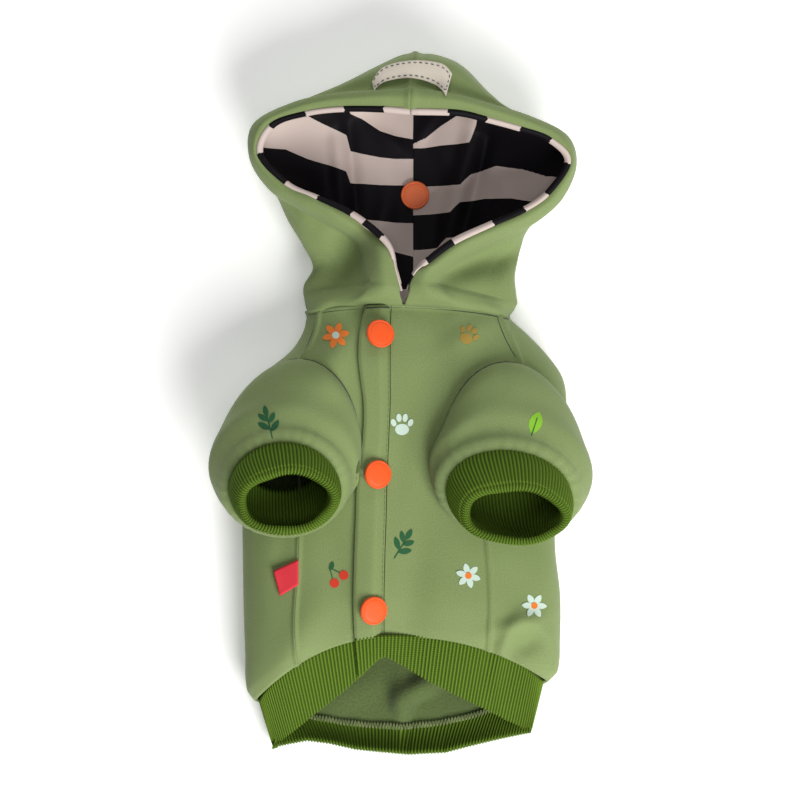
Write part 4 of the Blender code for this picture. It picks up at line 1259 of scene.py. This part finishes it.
def striped_material(name):
    material, tree, shader = principled(name, LINING_CREAM, 0.6)
    shader.inputs["Specular IOR Level"].default_value = 0.1
    place = tree.nodes.new("ShaderNodeUVMap")
    place.uv_map = "stripe"
    parts = tree.nodes.new("ShaderNodeSeparateXYZ")
    tree.links.new(place.outputs["UV"], parts.inputs["Vector"])
    half = tree.nodes.new("ShaderNodeMath")
    half.operation = "MULTIPLY"
    half.inputs[1].default_value = 0.5
    tree.links.new(parts.outputs["Y"], half.inputs[0])
    part = tree.nodes.new("ShaderNodeMath")
    part.operation = "FRACT"
    tree.links.new(half.outputs["Value"], part.inputs[0])
    dark = tree.nodes.new("ShaderNodeMath")
    dark.operation = "GREATER_THAN"
    dark.inputs[1].default_value = 0.5
    tree.links.new(part.outputs["Value"], dark.inputs[0])
    mix = tree.nodes.new("ShaderNodeMix")
    mix.data_type = "RGBA"
    mix.inputs["A"].default_value = LINING_CREAM
    mix.inputs["B"].default_value = LINING_BLACK
    tree.links.new(dark.outputs["Value"], mix.inputs["Factor"])
    tree.links.new(mix.outputs["Result"], shader.inputs["Base Color"])
    return material


striped_jersey = striped_material("striped_jersey")


def lining_controls(ways, side):
    edge, _, wide, spine = hood_controls(ways, side)
    centre = np.array([0.10 * HOOD_HALF - MODEL_MIDDLE[0], 0.50 * HOOD_LENGTH + NECK_Y - MODEL_MIDDLE[1], 0])
    towards = centre - edge
    towards[:, 2] = 0
    towards /= np.linalg.norm(towards, axis=1, keepdims=True)
    gap = 0.0025
    hem = edge + towards * 0.0017 + np.array([0, 0, -0.0042])
    under = edge + (wide - edge) * 0.30 + towards * gap
    under[:, 2] = 0.62 * edge[:, 2]
    low = wide + (spine - wide) * 0.26 + towards * 1.8 * gap
    low[:, 2] = 0.26 * edge[:, 2]
    base = wide + (spine - wide) * 0.56
    base[:, 2] = 2.4 * gap
    middle = spine.copy()
    middle[:, 0] += LINING_SEAM_SHIFT
    middle[:, 2] = 1.9 * gap
    return np.stack([hem, under, low, base, middle], axis=1), towards


for side, word in ((-1, "left"), (1, "right")):
    ways = np.linspace(0.02, 1, LINING_ROWS)
    controls, _ = lining_controls(ways, side)
    fine = smooth_through(controls)
    grid = np.array([at_shares(line, np.linspace(0, 1, LINING_COLUMNS)) for line in fine])
    down = distance_along(grid, 1)
    calm = np.clip(down / 0.012, 0, 1) * np.clip((down[:, -1:] - down) / 0.010 + 0.25, 0, 1)
    grid[..., 2] += lift_of_folds(LINING_FOLDS, grid[..., 0], grid[..., 1]) * calm
    grid[..., 2] = np.maximum(grid[..., 2], 0.0032)
    grid[-1, :, 0] += side * 0.5 * SEAM_GAP
    facing = grid_normals(grid) * (-1 if side < 0 else 1)
    flip = side < 0
    piece = make_sheet("lining_" + word + "_cloth", grid, (striped_jersey,), LINING_WALL, flip=flip)
    stripe = piece.data.uv_layers.new(name="stripe")
    place = np.zeros(len(piece.data.vertices) * 3)
    piece.data.vertices.foreach_get("co", place)
    place = place.reshape(-1, 3)
    phase = stripe_phase(side, place[:, 0], place[:, 1])
    corner = np.zeros(len(piece.data.loops), int)
    piece.data.loops.foreach_get("vertex_index", corner)
    stripe.data.foreach_set("uv", np.stack([place[corner, 0], phase[corner]], axis=-1).ravel())
    finish_piece(piece, "striped_lining", "lining_" + word)

# Rim facing: the lining's edge, turned so that its stripes cross the rim, shows as a narrow strip of black and
# cream blocks just inside the green roll.
FACING_WIDE = 0.0024
FACING_ROWS = 240
FACING_FADE = 0.17
# Where the blocks change, by column and row of the picture, from the neck up to the crown seam.
FACING_CHANGES = {
    -1: (
        (402, 296),
        (380, 240),
        (362, 226),
        (351, 217),
        (316, 200.5),
        (284.5, 184.5),
        (257, 154),
        (270, 126.5),
        (306, 113.5),
        (344, 109),
        (384, 109),
        (418, 110),
    ),
    1: (
        (404, 292),
        (415, 277),
        (429, 265),
        (455, 246),
        (494, 227),
        (526, 212),
        (549, 196),
        (569, 164),
        (551, 139),
        (521, 128.5),
        (487, 119),
        (448, 110),
        (418, 110),
    ),
}

for side, word in ((-1, "left"), (1, "right")):
    ways = np.linspace(0.05, 1, FACING_ROWS)
    controls, towards = lining_controls(ways, side)
    edge = hood_controls(ways, side)[0]
    outer = edge + towards * 0.0004 + np.array([0, 0, -0.0004])
    sink = 0.0030 * ease((FACING_FADE - ways) / 0.08)[:, None] * np.array([0, 0, -1])
    top = edge + towards * (0.45 * FACING_WIDE) + np.array([0, 0, 0.0002]) + sink
    turn = edge + towards * FACING_WIDE + np.array([0, 0, -0.0009]) + sink
    under = edge + towards * (0.93 * FACING_WIDE) + np.array([0, 0, -0.0024])
    back = edge + towards * (0.7 * FACING_WIDE) + np.array([0, 0, -0.0040])
    fine = smooth_through(np.stack([outer, top, turn, under, back], axis=1), steps=5)
    grid = np.array([at_shares(line, np.linspace(0, 1, 14)) for line in fine])
    grid[-1, :, 0] += side * 0.5 * SEAM_GAP
    flip = side < 0
    piece = make_sheet("facing_" + word, grid, (striped_jersey,), 0.0007, flip=flip)
    travelled = distance_along(edge[:, None], 0)[:, 0]
    marks = []
    for place in FACING_CHANGES[side]:
        x, y = picture_place(*place)
        nearest = np.argmin(np.hypot(edge[:, 0] - x, edge[:, 1] - y))
        marks.append(travelled[nearest])
    marks, order = np.unique(marks, return_index=True)
    phase = np.interp(travelled, marks, order + (0.0 if side < 0 else 1.0))
    find = KDTree(FACING_ROWS)
    for index in range(FACING_ROWS):
        find.insert(edge[index], index)
    find.balance()
    stripe = piece.data.uv_layers.new(name="stripe")
    lookup = np.array([find.find(vertex.co)[1] for vertex in piece.data.vertices])
    corner = np.zeros(len(piece.data.loops), int)
    piece.data.loops.foreach_get("vertex_index", corner)
    values = phase[lookup]
    stripe.data.foreach_set("uv", np.stack([values[corner] * 0, values[corner]], axis=-1).ravel())
    finish_piece(piece, "striped_lining")

# Snaps: flat round caps of moulded plastic with a slightly domed face and a fine groove round the edge, pressed
# through the placket. A fourth sits on the lining, in a lighter, pinker copy of the orange: painted light that
# makes up for the shade inside the hood.
SNAP_RADIUS = 0.0067
SNAP_THICK = 0.0021
SNAP_STEPS = 72
SNAP_ORANGE = (0.90, 0.105, 0.018, 1)
# A lighter copy of the orange for the cap inside the hood: painted light against the shade there.
SNAP_ORANGE_PAINTED_LIGHT = (0.98, 0.21, 0.075, 1)
SNAP_PROFILE = (
    (0.93, 0.00),
    (0.985, 0.12),
    (1.0, 0.35),
    (0.985, 0.60),
    (0.94, 0.80),
    (0.89, 0.86),
    (0.865, 0.80),
    (0.845, 0.74),
    (0.82, 0.80),
    (0.78, 0.88),
    (0.65, 0.94),
    (0.45, 0.98),
    (0.22, 1.0),
    (0.0, 1.0),
)


def plastic_material(name, colour):
    """Satin moulded plastic with faint mottling, as cheap caps have."""
    material, tree, shader = principled(name, colour, 0.5)
    shader.inputs["Specular IOR Level"].default_value = 0.25
    place = tree.nodes.new("ShaderNodeTexCoord")
    grain = tree.nodes.new("ShaderNodeTexNoise")
    grain.inputs["Scale"].default_value = 420
    grain.inputs["Detail"].default_value = 2.0
    tree.links.new(place.outputs["Object"], grain.inputs["Vector"])
    relief = tree.nodes.new("ShaderNodeBump")
    relief.inputs["Strength"].default_value = 0.25
    relief.inputs["Distance"].default_value = 0.0003
    tree.links.new(grain.outputs["Fac"], relief.inputs["Height"])
    tree.links.new(relief.outputs["Normal"], shader.inputs["Normal"])
    return material


snap_orange = plastic_material("orange_plastic_satin", SNAP_ORANGE)
snap_orange_painted_light = plastic_material("orange_plastic_painted_light", SNAP_ORANGE_PAINTED_LIGHT)


def turn_snap(name, node):
    """A cap turned round its own axis, in the place and at the tilt that the solid cap has."""
    low, high = (np.array(corner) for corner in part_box(node))
    middle = 0.5 * (low + high)
    tree = placket_tree if node != "hood_snap_cap" else None
    up = drop_on(tree, middle[0], middle[1])[1] if tree else Vector((0, 0, 1))
    seat = Vector((middle[0], middle[1], 0)) + Vector((0, 0, 0.5 * (low[2] + high[2]))) - up * (0.5 * SNAP_THICK)
    side = up.cross(Vector((0, 1, 0))).normalized()
    ahead = up.cross(side)
    points = []
    faces = []
    for out, high_share in SNAP_PROFILE[:-1]:
        for step in range(SNAP_STEPS):
            angle = 2 * math.pi * step / SNAP_STEPS
            flat = side * math.cos(angle) + ahead * math.sin(angle)
            points.append(seat + flat * (out * SNAP_RADIUS) + up * (high_share * SNAP_THICK))
    points.append(seat + up * SNAP_THICK)
    points.append(seat)
    rings = len(SNAP_PROFILE) - 1
    for ring in range(rings - 1):
        for step in range(SNAP_STEPS):
            a = ring * SNAP_STEPS + step
            b = ring * SNAP_STEPS + (step + 1) % SNAP_STEPS
            faces.append((a, b, b + SNAP_STEPS, a + SNAP_STEPS))
    top, bottom = len(points) - 2, len(points) - 1
    for step in range(SNAP_STEPS):
        after = (step + 1) % SNAP_STEPS
        faces.append(((rings - 1) * SNAP_STEPS + step, (rings - 1) * SNAP_STEPS + after, top))
        faces.append((after, step, bottom))
    mesh = bpy.data.meshes.new(name)
    mesh.from_pydata([tuple(point) for point in points], [], faces)
    # The cap inside the hood takes the lighter copy of the orange: painted light.
    mesh.materials.append(snap_orange_painted_light if node == "hood_snap_cap" else snap_orange)
    mesh.shade_smooth()
    obj = put_in_scene(name, mesh)
    tidy_normals(obj)
    finish_piece(obj, "orange_plastic", node)
    return obj


for name, node in (
    ("front_snap_1", "snap_cap_1"),
    ("front_snap_2", "snap_cap_2"),
    ("front_snap_3", "snap_cap_3"),
    ("lining_snap", "hood_snap_cap"),
):
    turn_snap(name, node)
for node in ("snap_back_1", "snap_back_2", "snap_back_3", "hood_snap_back"):
    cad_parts[node].data.materials.clear()
    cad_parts[node].data.materials.append(snap_orange)

# Crown label: a small arched piece of cream tape on the crown, sewn on all round with black thread and left plain.
LABEL_CREAM = (0.74, 0.67, 0.57, 1)
LABEL_WALL = 0.0005
LABEL_PROUD = 0.0022
THREAD_BLACK = (0.012, 0.012, 0.013, 1)


def woven_material(name, colour):
    material, tree, shader = principled(name, colour, 0.85)
    place = tree.nodes.new("ShaderNodeUVMap")
    place.uv_map = "cloth"
    weave = tree.nodes.new("ShaderNodeTexWave")
    weave.inputs["Scale"].default_value = 700
    weave.inputs["Distortion"].default_value = 0.6
    tree.links.new(place.outputs["UV"], weave.inputs["Vector"])
    relief = tree.nodes.new("ShaderNodeBump")
    relief.inputs["Strength"].default_value = 0.35
    relief.inputs["Distance"].default_value = 0.0002
    tree.links.new(weave.outputs["Fac"], relief.inputs["Height"])
    tree.links.new(relief.outputs["Normal"], shader.inputs["Normal"])
    return material


cream_tape = woven_material("cream_tape", LABEL_CREAM)
black_thread = thread_or_shade_material("black_thread", THREAD_BLACK)

LABEL_UPPER = ((372, 83), (384, 68), (412, 61.5), (441, 64.5), (452, 75))
LABEL_LOWER = ((374, 92), (386, 83), (411, 79.5), (434, 86), (446, 98))


def label_place(across, down):
    """A place on the label: across from its left end (0) to its right (1), down from its upper edge (0)."""
    upper = smooth_through(np.array([LABEL_UPPER], float))[0]
    lower = smooth_through(np.array([LABEL_LOWER], float))[0]
    index = across * (len(upper) - 1)
    column = np.interp(index, np.arange(len(upper)), upper[:, 0]) * (1 - down) + down * np.interp(
        index, np.arange(len(lower)), lower[:, 0]
    )
    row = np.interp(index, np.arange(len(upper)), upper[:, 1]) * (1 - down) + down * np.interp(
        index, np.arange(len(lower)), lower[:, 1]
    )
    return picture_place(column, row)


label_grid = np.zeros((14, 44, 3))
for row in range(14):
    for column in range(44):
        x, y = label_place(column / 43, row / 13)
        high, _ = drop_on(hood_tree, x, y)
        label_grid[row, column] = (x, y, high)
for _ in range(20):
    beside = np.pad(label_grid[..., 2], 1, mode="edge")
    smooth = 0.25 * (beside[:-2, 1:-1] + beside[2:, 1:-1] + beside[1:-1, :-2] + beside[1:-1, 2:])
    label_grid[..., 2] = np.maximum(smooth, label_grid[..., 2])
label_grid[..., 2] += LABEL_PROUD
label = make_sheet("crown_label_tape", label_grid, (cream_tape,), LABEL_WALL, flip=True)
finish_piece(label, "cream_label", "crown_label")
label_tree = grid_tree([label_grid])
label_border = [label_place(across, 0.14) for across in np.linspace(0.05, 0.95, 30)]
label_border += [label_place(0.95, down) for down in np.linspace(0.2, 0.84, 8)]
label_border += [label_place(across, 0.86) for across in np.linspace(0.95, 0.05, 30)]
label_border += [label_place(0.05, down) for down in np.linspace(0.84, 0.14, 8)]
border_line = [(x, y, drop_on(label_tree, x, y)[0]) for x, y in label_border]
lay_stitches(
    "label_stitches", border_line, 0.0016, 0.0027, 0.00042, black_thread, label_tree, "cream_label", sunk=0.1
)

# Side tag: a folded scrap of red tape, caught in the left side seam and left plain.
TAG_RED = (0.78, 0.035, 0.055, 1)
TAG_CORNERS = ((273.5, 571), (298.5, 559.5), (298.5, 585), (280, 596))
red_tape = woven_material("red_tape", TAG_RED)
tag_grid = np.zeros((12, 12, 3))
for row in range(12):
    for column in range(12):
        across, down = column / 11, row / 11
        top = np.array(TAG_CORNERS[0]) * (1 - across) + np.array(TAG_CORNERS[1]) * across
        bottom = np.array(TAG_CORNERS[3]) * (1 - across) + np.array(TAG_CORNERS[2]) * across
        x, y = picture_place(*(top * (1 - down) + bottom * down))
        high, _ = drop_on(body_tree, x, y)
        lift = 0.0016 + 0.0012 * (1 - across) ** 2 * (0.5 + 0.5 * math.cos(3.1 * down))
        tag_grid[row, column] = (x, y, high + lift)
tag = make_sheet("side_tag_tape", tag_grid, (red_tape,), 0.0006, flip=True)
finish_piece(tag, "red_tag", "side_tag")

# Seams: a thin dark line lies at the bottom of each valley between two panels: painted shade for the shadow there.
SEAM_SHADE_THICK = 0.00055
NECK_CREASE = 0.0013
NECK_STEPS = 90
NECK_SEEN = 45
SEAM_LOWEST = 0.5 * CHEST_RISE
SHOULDER_BOW = 2.5
SHOULDER_SEAMS = (
    ("left", (318.5, 309), (298, 364)),
    ("right", (497.5, 317), (520, 364)),
)
# Painted shade: a near-black green line laid in each seam's valley darkens it like the shadow there.
painted_seam_shade = thread_or_shade_material("seam_shade_painted", (0.022, 0.034, 0.010, 1))


def thread_or_shade_line(name, line, thick, material, slot):
    """One thin round strand along a line of points: a real thread, or a dark line of painted shade in a seam."""
    line = np.asarray(line, float)
    ahead = np.gradient(line, axis=0)
    ahead /= np.maximum(np.linalg.norm(ahead, axis=1, keepdims=True), 1e-9)
    side = np.cross(ahead, [0.0, 0.0, 1.0])
    side /= np.maximum(np.linalg.norm(side, axis=1, keepdims=True), 1e-9)
    above = np.cross(side, ahead)
    angles = np.arange(6) * math.pi / 3
    ring = np.cos(angles)[None, :, None] * side[:, None] + np.sin(angles)[None, :, None] * above[:, None]
    points = (line[:, None] + 0.5 * thick * ring).reshape(-1, 3)
    count = len(line)
    faces = []
    for step in range(count - 1):
        for turn in range(6):
            a = step * 6 + turn
            b = step * 6 + (turn + 1) % 6
            faces.append((a, b, b + 6, a + 6))
    faces.append(tuple(range(5, -1, -1)))
    faces.append(tuple((count - 1) * 6 + turn for turn in range(6)))
    mesh = bpy.data.meshes.new(name)
    mesh.from_pydata(points.tolist(), [], faces)
    mesh.materials.append(material)
    mesh.shade_smooth()
    obj = put_in_scene(name, mesh)
    tidy_normals(obj)
    finish_piece(obj, slot)
    return obj


def lowered(line, drop):
    return np.asarray(line, float) - np.array([0, 0, drop])


seam_rows = slice(1, None)
for name, points in (("left_side_seam", left_points[seam_rows, 0]), ("right_side_seam", right_points[seam_rows, -1])):
    thread_or_shade_line(name, lowered(points, 0.7 * SEAM_DIP), SEAM_SHADE_THICK, painted_seam_shade, "sage_cloth")
for word, side in (("left", -1), ("right", 1)):
    line = collar_line(side, NECK_STEPS)[:NECK_SEEN]
    crease = []
    for x, y, _ in line - np.array([0, NECK_CREASE, 0]):
        high = max(drop_on(tree, x, y)[0] for tree in (body_tree, hood_tree, placket_tree))
        if high > SEAM_LOWEST:
            crease.append((x, y, high))
    thread_or_shade_line("neck_seam_" + word, crease, 1.5 * SEAM_SHADE_THICK, painted_seam_shade, "sage_cloth")
for word, start, end in SHOULDER_SEAMS:
    line = []
    for share in np.linspace(0, 1, 40):
        bow = SHOULDER_BOW * 4 * share * (1 - share)
        column = start[0] + (end[0] - start[0]) * share + bow * (1 if word == "left" else -1)
        x, y = picture_place(column, start[1] + (end[1] - start[1]) * share)
        high = drop_on(body_tree, x, y)[0]
        if high > SEAM_LOWEST:
            line.append((x, y, high))
    thread_or_shade_line(word + "_shoulder_seam", line, SEAM_SHADE_THICK, painted_seam_shade, "sage_cloth")
for arm in arms:
    word = "left" if arm["side"] < 0 else "right"
    turn = math.radians(arm["hole_turn"])
    ring = []
    for angle in np.linspace(0, 2 * math.pi, 181):
        flat_x = math.cos(angle) * (ARMHOLE_HALF_WIDTH + 0.0002)
        flat_y = math.sin(angle) * (ARMHOLE_HALF_LENGTH + 0.0002)
        x = hole_middle(arm)[0] + flat_x * math.cos(turn) - flat_y * math.sin(turn)
        y = hole_middle(arm)[1] + flat_x * math.sin(turn) + flat_y * math.cos(turn)
        ring.append((x, y, drop_on(body_tree, x, y, otherwise=0.4 * CHEST_RISE)[0] + 0.0001))
    thread_or_shade_line(word + "_armhole_seam", ring, SEAM_SHADE_THICK, painted_seam_shade, "sage_cloth")
crown_line = [point for point in hood_grids[1][-1][14:60]]
thread_or_shade_line("crown_seam", lowered(crown_line, 0.0009), SEAM_SHADE_THICK, painted_seam_shade, "sage_cloth")

# Overlock: a looped thread runs over the raw edges where the rib band joins the fleece, inside the back of the hem.
OVERLOCK_REACH = 0.0014
OVERLOCK_STEP = 0.0015
OVERLOCK_THICK = 0.00055
OVERLOCK_LIFT = 0.0006
overlock_thread = thread_or_shade_material("olive_overlock_thread", (0.150, 0.190, 0.060, 1))
seam_row = hem_grid[-2][hem_grid[-2][:, 2] < 0.3 * CHEST_RISE]
seam_row = seam_row[np.argsort(seam_row[:, 0])]
seam_long = float(seam_row[-1, 0] - seam_row[0, 0])
loops = int(seam_long / OVERLOCK_STEP)
loop_share = np.linspace(0.03, 0.97, loops * 10)
loop_x = seam_row[0, 0] + seam_long * loop_share
loop_turn = 2 * math.pi * loops * loop_share
loop_y = np.interp(loop_x, seam_row[:, 0], seam_row[:, 1]) + OVERLOCK_REACH * np.sin(loop_turn)
loop_z = np.interp(loop_x, seam_row[:, 0], seam_row[:, 2]) + OVERLOCK_LIFT + 0.0002 * np.cos(2 * loop_turn)
loop_line = np.stack([loop_x, loop_y, loop_z], axis=-1)
thread_or_shade_line("hem_overlock", loop_line, OVERLOCK_THICK, overlock_thread, "green_rib")

# Print: small plain motifs in an even half-drop repeat, as garment printers lay them: paws, bones, daisies, sprigs,
# leaves and berries. Each is a few filled shapes that lie on the cloth.
PRINT_WALL = 0.00010
PRINT_LIFT = 0.00016
PRINT_LAYER = 0.00005
PRINT_STEPS = 28
PRINT_RINGS = (1.0, 0.7, 0.4)
PRINT_COLOURS = {
    "white": (0.58, 0.72, 0.63, 1),
    "lime": (0.24, 0.52, 0.035, 1),
    "pine": (0.022, 0.105, 0.040, 1),
    "ochre": (0.36, 0.24, 0.05, 1),
    "red": (0.60, 0.045, 0.022, 1),
    "brown": (0.10, 0.045, 0.022, 1),
    "wine": (0.22, 0.018, 0.014, 1),
    "orange": (0.80, 0.21, 0.035, 1),
}
# Shapes of each motif: kind, middle across and up, half width and half height as shares of its size, turn in
# degrees, and whether it takes the first or the second colour.
PRINT_SHAPES = {
    "paw": (
        ("oval", 0.0, -0.16, 0.27, 0.22, 0, 0),
        ("oval", -0.33, 0.10, 0.10, 0.15, 22, 0),
        ("oval", -0.12, 0.29, 0.10, 0.16, 6, 0),
        ("oval", 0.12, 0.29, 0.10, 0.16, -6, 0),
        ("oval", 0.33, 0.10, 0.10, 0.15, -22, 0),
    ),
    "bone": (
        ("bar", 0.0, 0.0, 0.34, 0.09, 0, 0),
        ("oval", -0.37, 0.10, 0.12, 0.12, 0, 0),
        ("oval", -0.37, -0.10, 0.12, 0.12, 0, 0),
        ("oval", 0.37, 0.10, 0.12, 0.12, 0, 0),
        ("oval", 0.37, -0.10, 0.12, 0.12, 0, 0),
    ),
    "daisy": (
        ("leaf", 0.0, 0.27, 0.12, 0.22, 0, 0),
        ("leaf", 0.234, 0.135, 0.12, 0.22, -60, 0),
        ("leaf", 0.234, -0.135, 0.12, 0.22, -120, 0),
        ("leaf", 0.0, -0.27, 0.12, 0.22, 180, 0),
        ("leaf", -0.234, -0.135, 0.12, 0.22, 120, 0),
        ("leaf", -0.234, 0.135, 0.12, 0.22, 60, 0),
        ("oval", 0.0, 0.0, 0.13, 0.13, 0, 1),
    ),
    "sprig": (
        ("bar", 0.0, -0.05, 0.022, 0.42, 0, 1),
        ("leaf", -0.17, -0.02, 0.09, 0.21, 48, 0),
        ("leaf", 0.17, -0.10, 0.09, 0.21, -48, 0),
        ("leaf", -0.14, 0.24, 0.08, 0.18, 40, 0),
        ("leaf", 0.14, 0.17, 0.08, 0.18, -40, 0),
        ("leaf", 0.0, 0.40, 0.08, 0.19, 0, 0),
    ),
    "leaf": (
        ("leaf", 0.0, 0.06, 0.25, 0.44, 0, 0),
        ("bar", 0.0, -0.10, 0.022, 0.38, 0, 1),
    ),
    "berries": (
        ("bar", -0.10, 0.12, 0.018, 0.26, -24, 1),
        ("bar", 0.12, 0.12, 0.018, 0.26, 24, 1),
        ("oval", -0.21, -0.17, 0.17, 0.17, 0, 0),
        ("oval", 0.23, -0.17, 0.17, 0.17, 0, 0),
        ("leaf", 0.10, 0.36, 0.09, 0.17, -62, 1),
    ),
}
# The repeat: motifs stand in straight columns, and every other column drops by half a step. Each takes the next
# entry of the order: motif, size in millimetres, first and second colour.
PRINT_START = (0.0006, -0.0096)
PRINT_ACROSS = 0.0308
PRINT_DOWN = 0.0280
PRINT_COLUMNS = 4
PRINT_ROWS = 5
PRINT_TURNS = (0, 28, -18, 40, -32, 14, -44)
PRINT_LEVEL = 0.0011
PRINT_CLEAR = 0.0025
PRINT_UNDER_CUFF = 0.4
PRINT_LOWEST = 0.25 * CHEST_RISE
PRINT_SPOTS = 16
PRINT_ORDER = (
    ("paw", 12, "white", "white"),
    ("berries", 13, "red", "pine"),
    ("leaf", 13, "ochre", "brown"),
    ("daisy", 13, "orange", "white"),
    ("sprig", 15, "pine", "pine"),
    ("bone", 16, "white", "white"),
    ("leaf", 12, "lime", "pine"),
    ("daisy", 12, "white", "orange"),
    ("berries", 12, "wine", "brown"),
    ("paw", 11, "ochre", "ochre"),
)


def shape_outline(kind, angles):
    """A unit outline for one of the three kinds of shape."""
    across, up = np.sin(angles), np.cos(angles)
    if kind == "leaf":
        return np.stack([across * np.abs(across) ** 0.6, up], axis=-1)
    if kind == "bar":
        return np.stack([np.sign(across) * np.abs(across) ** 0.35, np.sign(up) * np.abs(up) ** 0.35], axis=-1)
    return np.stack([across, up], axis=-1)


cloth_grids = [body_whole, placket_points] + sleeve_grids
cloth_tree = grid_tree(cloth_grids)
bare_nodes = ("left_cuff", "right_cuff", "hem_band", "side_tag", "snap_cap_1", "snap_cap_2", "snap_cap_3")


def takes_print(x, y, radius):
    """Whether a motif fits here: on level cloth, clear of the rib, the tag, the snaps and every seam or fold."""
    for node in bare_nodes:
        low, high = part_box(node)
        reach = radius * (PRINT_UNDER_CUFF if "cuff" in node else 1.0) + PRINT_CLEAR
        if low[0] - reach < x < high[0] + reach and low[1] - reach < y < high[1] + reach:
            return False
    spots = [(x, y)]
    turns = np.linspace(0, 2 * math.pi, PRINT_SPOTS, endpoint=False)
    spots += [(x + radius * math.cos(turn), y + radius * math.sin(turn)) for turn in turns]
    heights = np.array([drop_on(cloth_tree, *spot, otherwise=-1.0)[0] for spot in spots])
    if heights.min() < PRINT_LOWEST:
        return False
    flat = np.column_stack([np.ones(len(spots)), np.array(spots)])
    level = flat @ np.linalg.lstsq(flat, heights, rcond=None)[0]
    return np.abs(heights - level).max() < PRINT_LEVEL


print_places = []
for across in range(-PRINT_COLUMNS, PRINT_COLUMNS + 1):
    for down in range(-PRINT_ROWS, PRINT_ROWS + 1):
        x = PRINT_START[0] + across * PRINT_ACROSS
        y = PRINT_START[1] - (down + 0.5 * (across % 2)) * PRINT_DOWN
        order = (3 * across + 7 * down) % len(PRINT_ORDER)
        motif, size, first, second = PRINT_ORDER[order]
        if takes_print(x, y, 0.5 * size / 1000):
            print_places.append((motif, x, y, PRINT_TURNS[(across + 2 * down) % len(PRINT_TURNS)], size, first, second))
print_inks = {}
for word, colour in PRINT_COLOURS.items():
    print_inks[word] = principled("ink_" + word, colour, 0.75)[0]
    print_inks[word].node_tree.nodes["Principled BSDF"].inputs["Specular IOR Level"].default_value = 0.2
ink_order = list(print_inks)
print_points = []
print_faces = []
print_slots = []
angles = np.arange(PRINT_STEPS) * 2 * math.pi / PRINT_STEPS
for motif, x_place, y_place, turn, size, first, second in print_places:
    place = np.array([x_place, y_place])
    for layer, (kind, x, y, wide, tall, lean, choice) in enumerate(PRINT_SHAPES[motif]):
        outline = shape_outline(kind, angles) * np.array([wide, tall])
        start = len(print_points)
        rings = [outline * share for share in PRINT_RINGS] + [outline[:1] * 0]
        for flat in np.concatenate(rings):
            spin = math.radians(lean)
            inner = np.array(
                [
                    x + flat[0] * math.cos(spin) - flat[1] * math.sin(spin),
                    y + flat[0] * math.sin(spin) + flat[1] * math.cos(spin),
                ]
            )
            spin = math.radians(turn)
            spot = np.array(
                [
                    inner[0] * math.cos(spin) - inner[1] * math.sin(spin),
                    inner[0] * math.sin(spin) + inner[1] * math.cos(spin),
                ]
            )
            spot = place + spot * size / 1000
            high, up = drop_on(cloth_tree, spot[0], spot[1])
            lifted = Vector((spot[0], spot[1], high)) + up * (PRINT_LIFT + PRINT_LAYER * layer)
            print_points.append(tuple(lifted))
        ink = ink_order.index(second if choice else first)
        for ring in range(len(PRINT_RINGS) - 1):
            for step in range(PRINT_STEPS):
                a = start + ring * PRINT_STEPS + step
                b = start + ring * PRINT_STEPS + (step + 1) % PRINT_STEPS
                print_faces.append((a, b, b + PRINT_STEPS, a + PRINT_STEPS)[::-1])
                print_slots.append(ink)
        inside = start + (len(PRINT_RINGS) - 1) * PRINT_STEPS
        for step in range(PRINT_STEPS):
            print_faces.append((inside + step, inside + (step + 1) % PRINT_STEPS, inside + PRINT_STEPS)[::-1])
            print_slots.append(ink)
mesh = bpy.data.meshes.new("print_motifs")
mesh.from_pydata(print_points, [], print_faces)
for word in ink_order:
    mesh.materials.append(print_inks[word])
mesh.polygons.foreach_set("material_index", print_slots)
motifs = put_in_scene("print_motifs", mesh)
solid = motifs.modifiers.new("wall", "SOLIDIFY")
solid.thickness = PRINT_WALL
solid.offset = -1.0
apply_modifiers(motifs)
bpy.ops.object.select_all(action="DESELECT")
motifs.select_set(True)
bpy.context.view_layer.objects.active = motifs
bpy.ops.object.shade_smooth_by_angle(angle=math.radians(40))
motifs.select_set(False)
finish_piece(motifs, "sage_cloth")
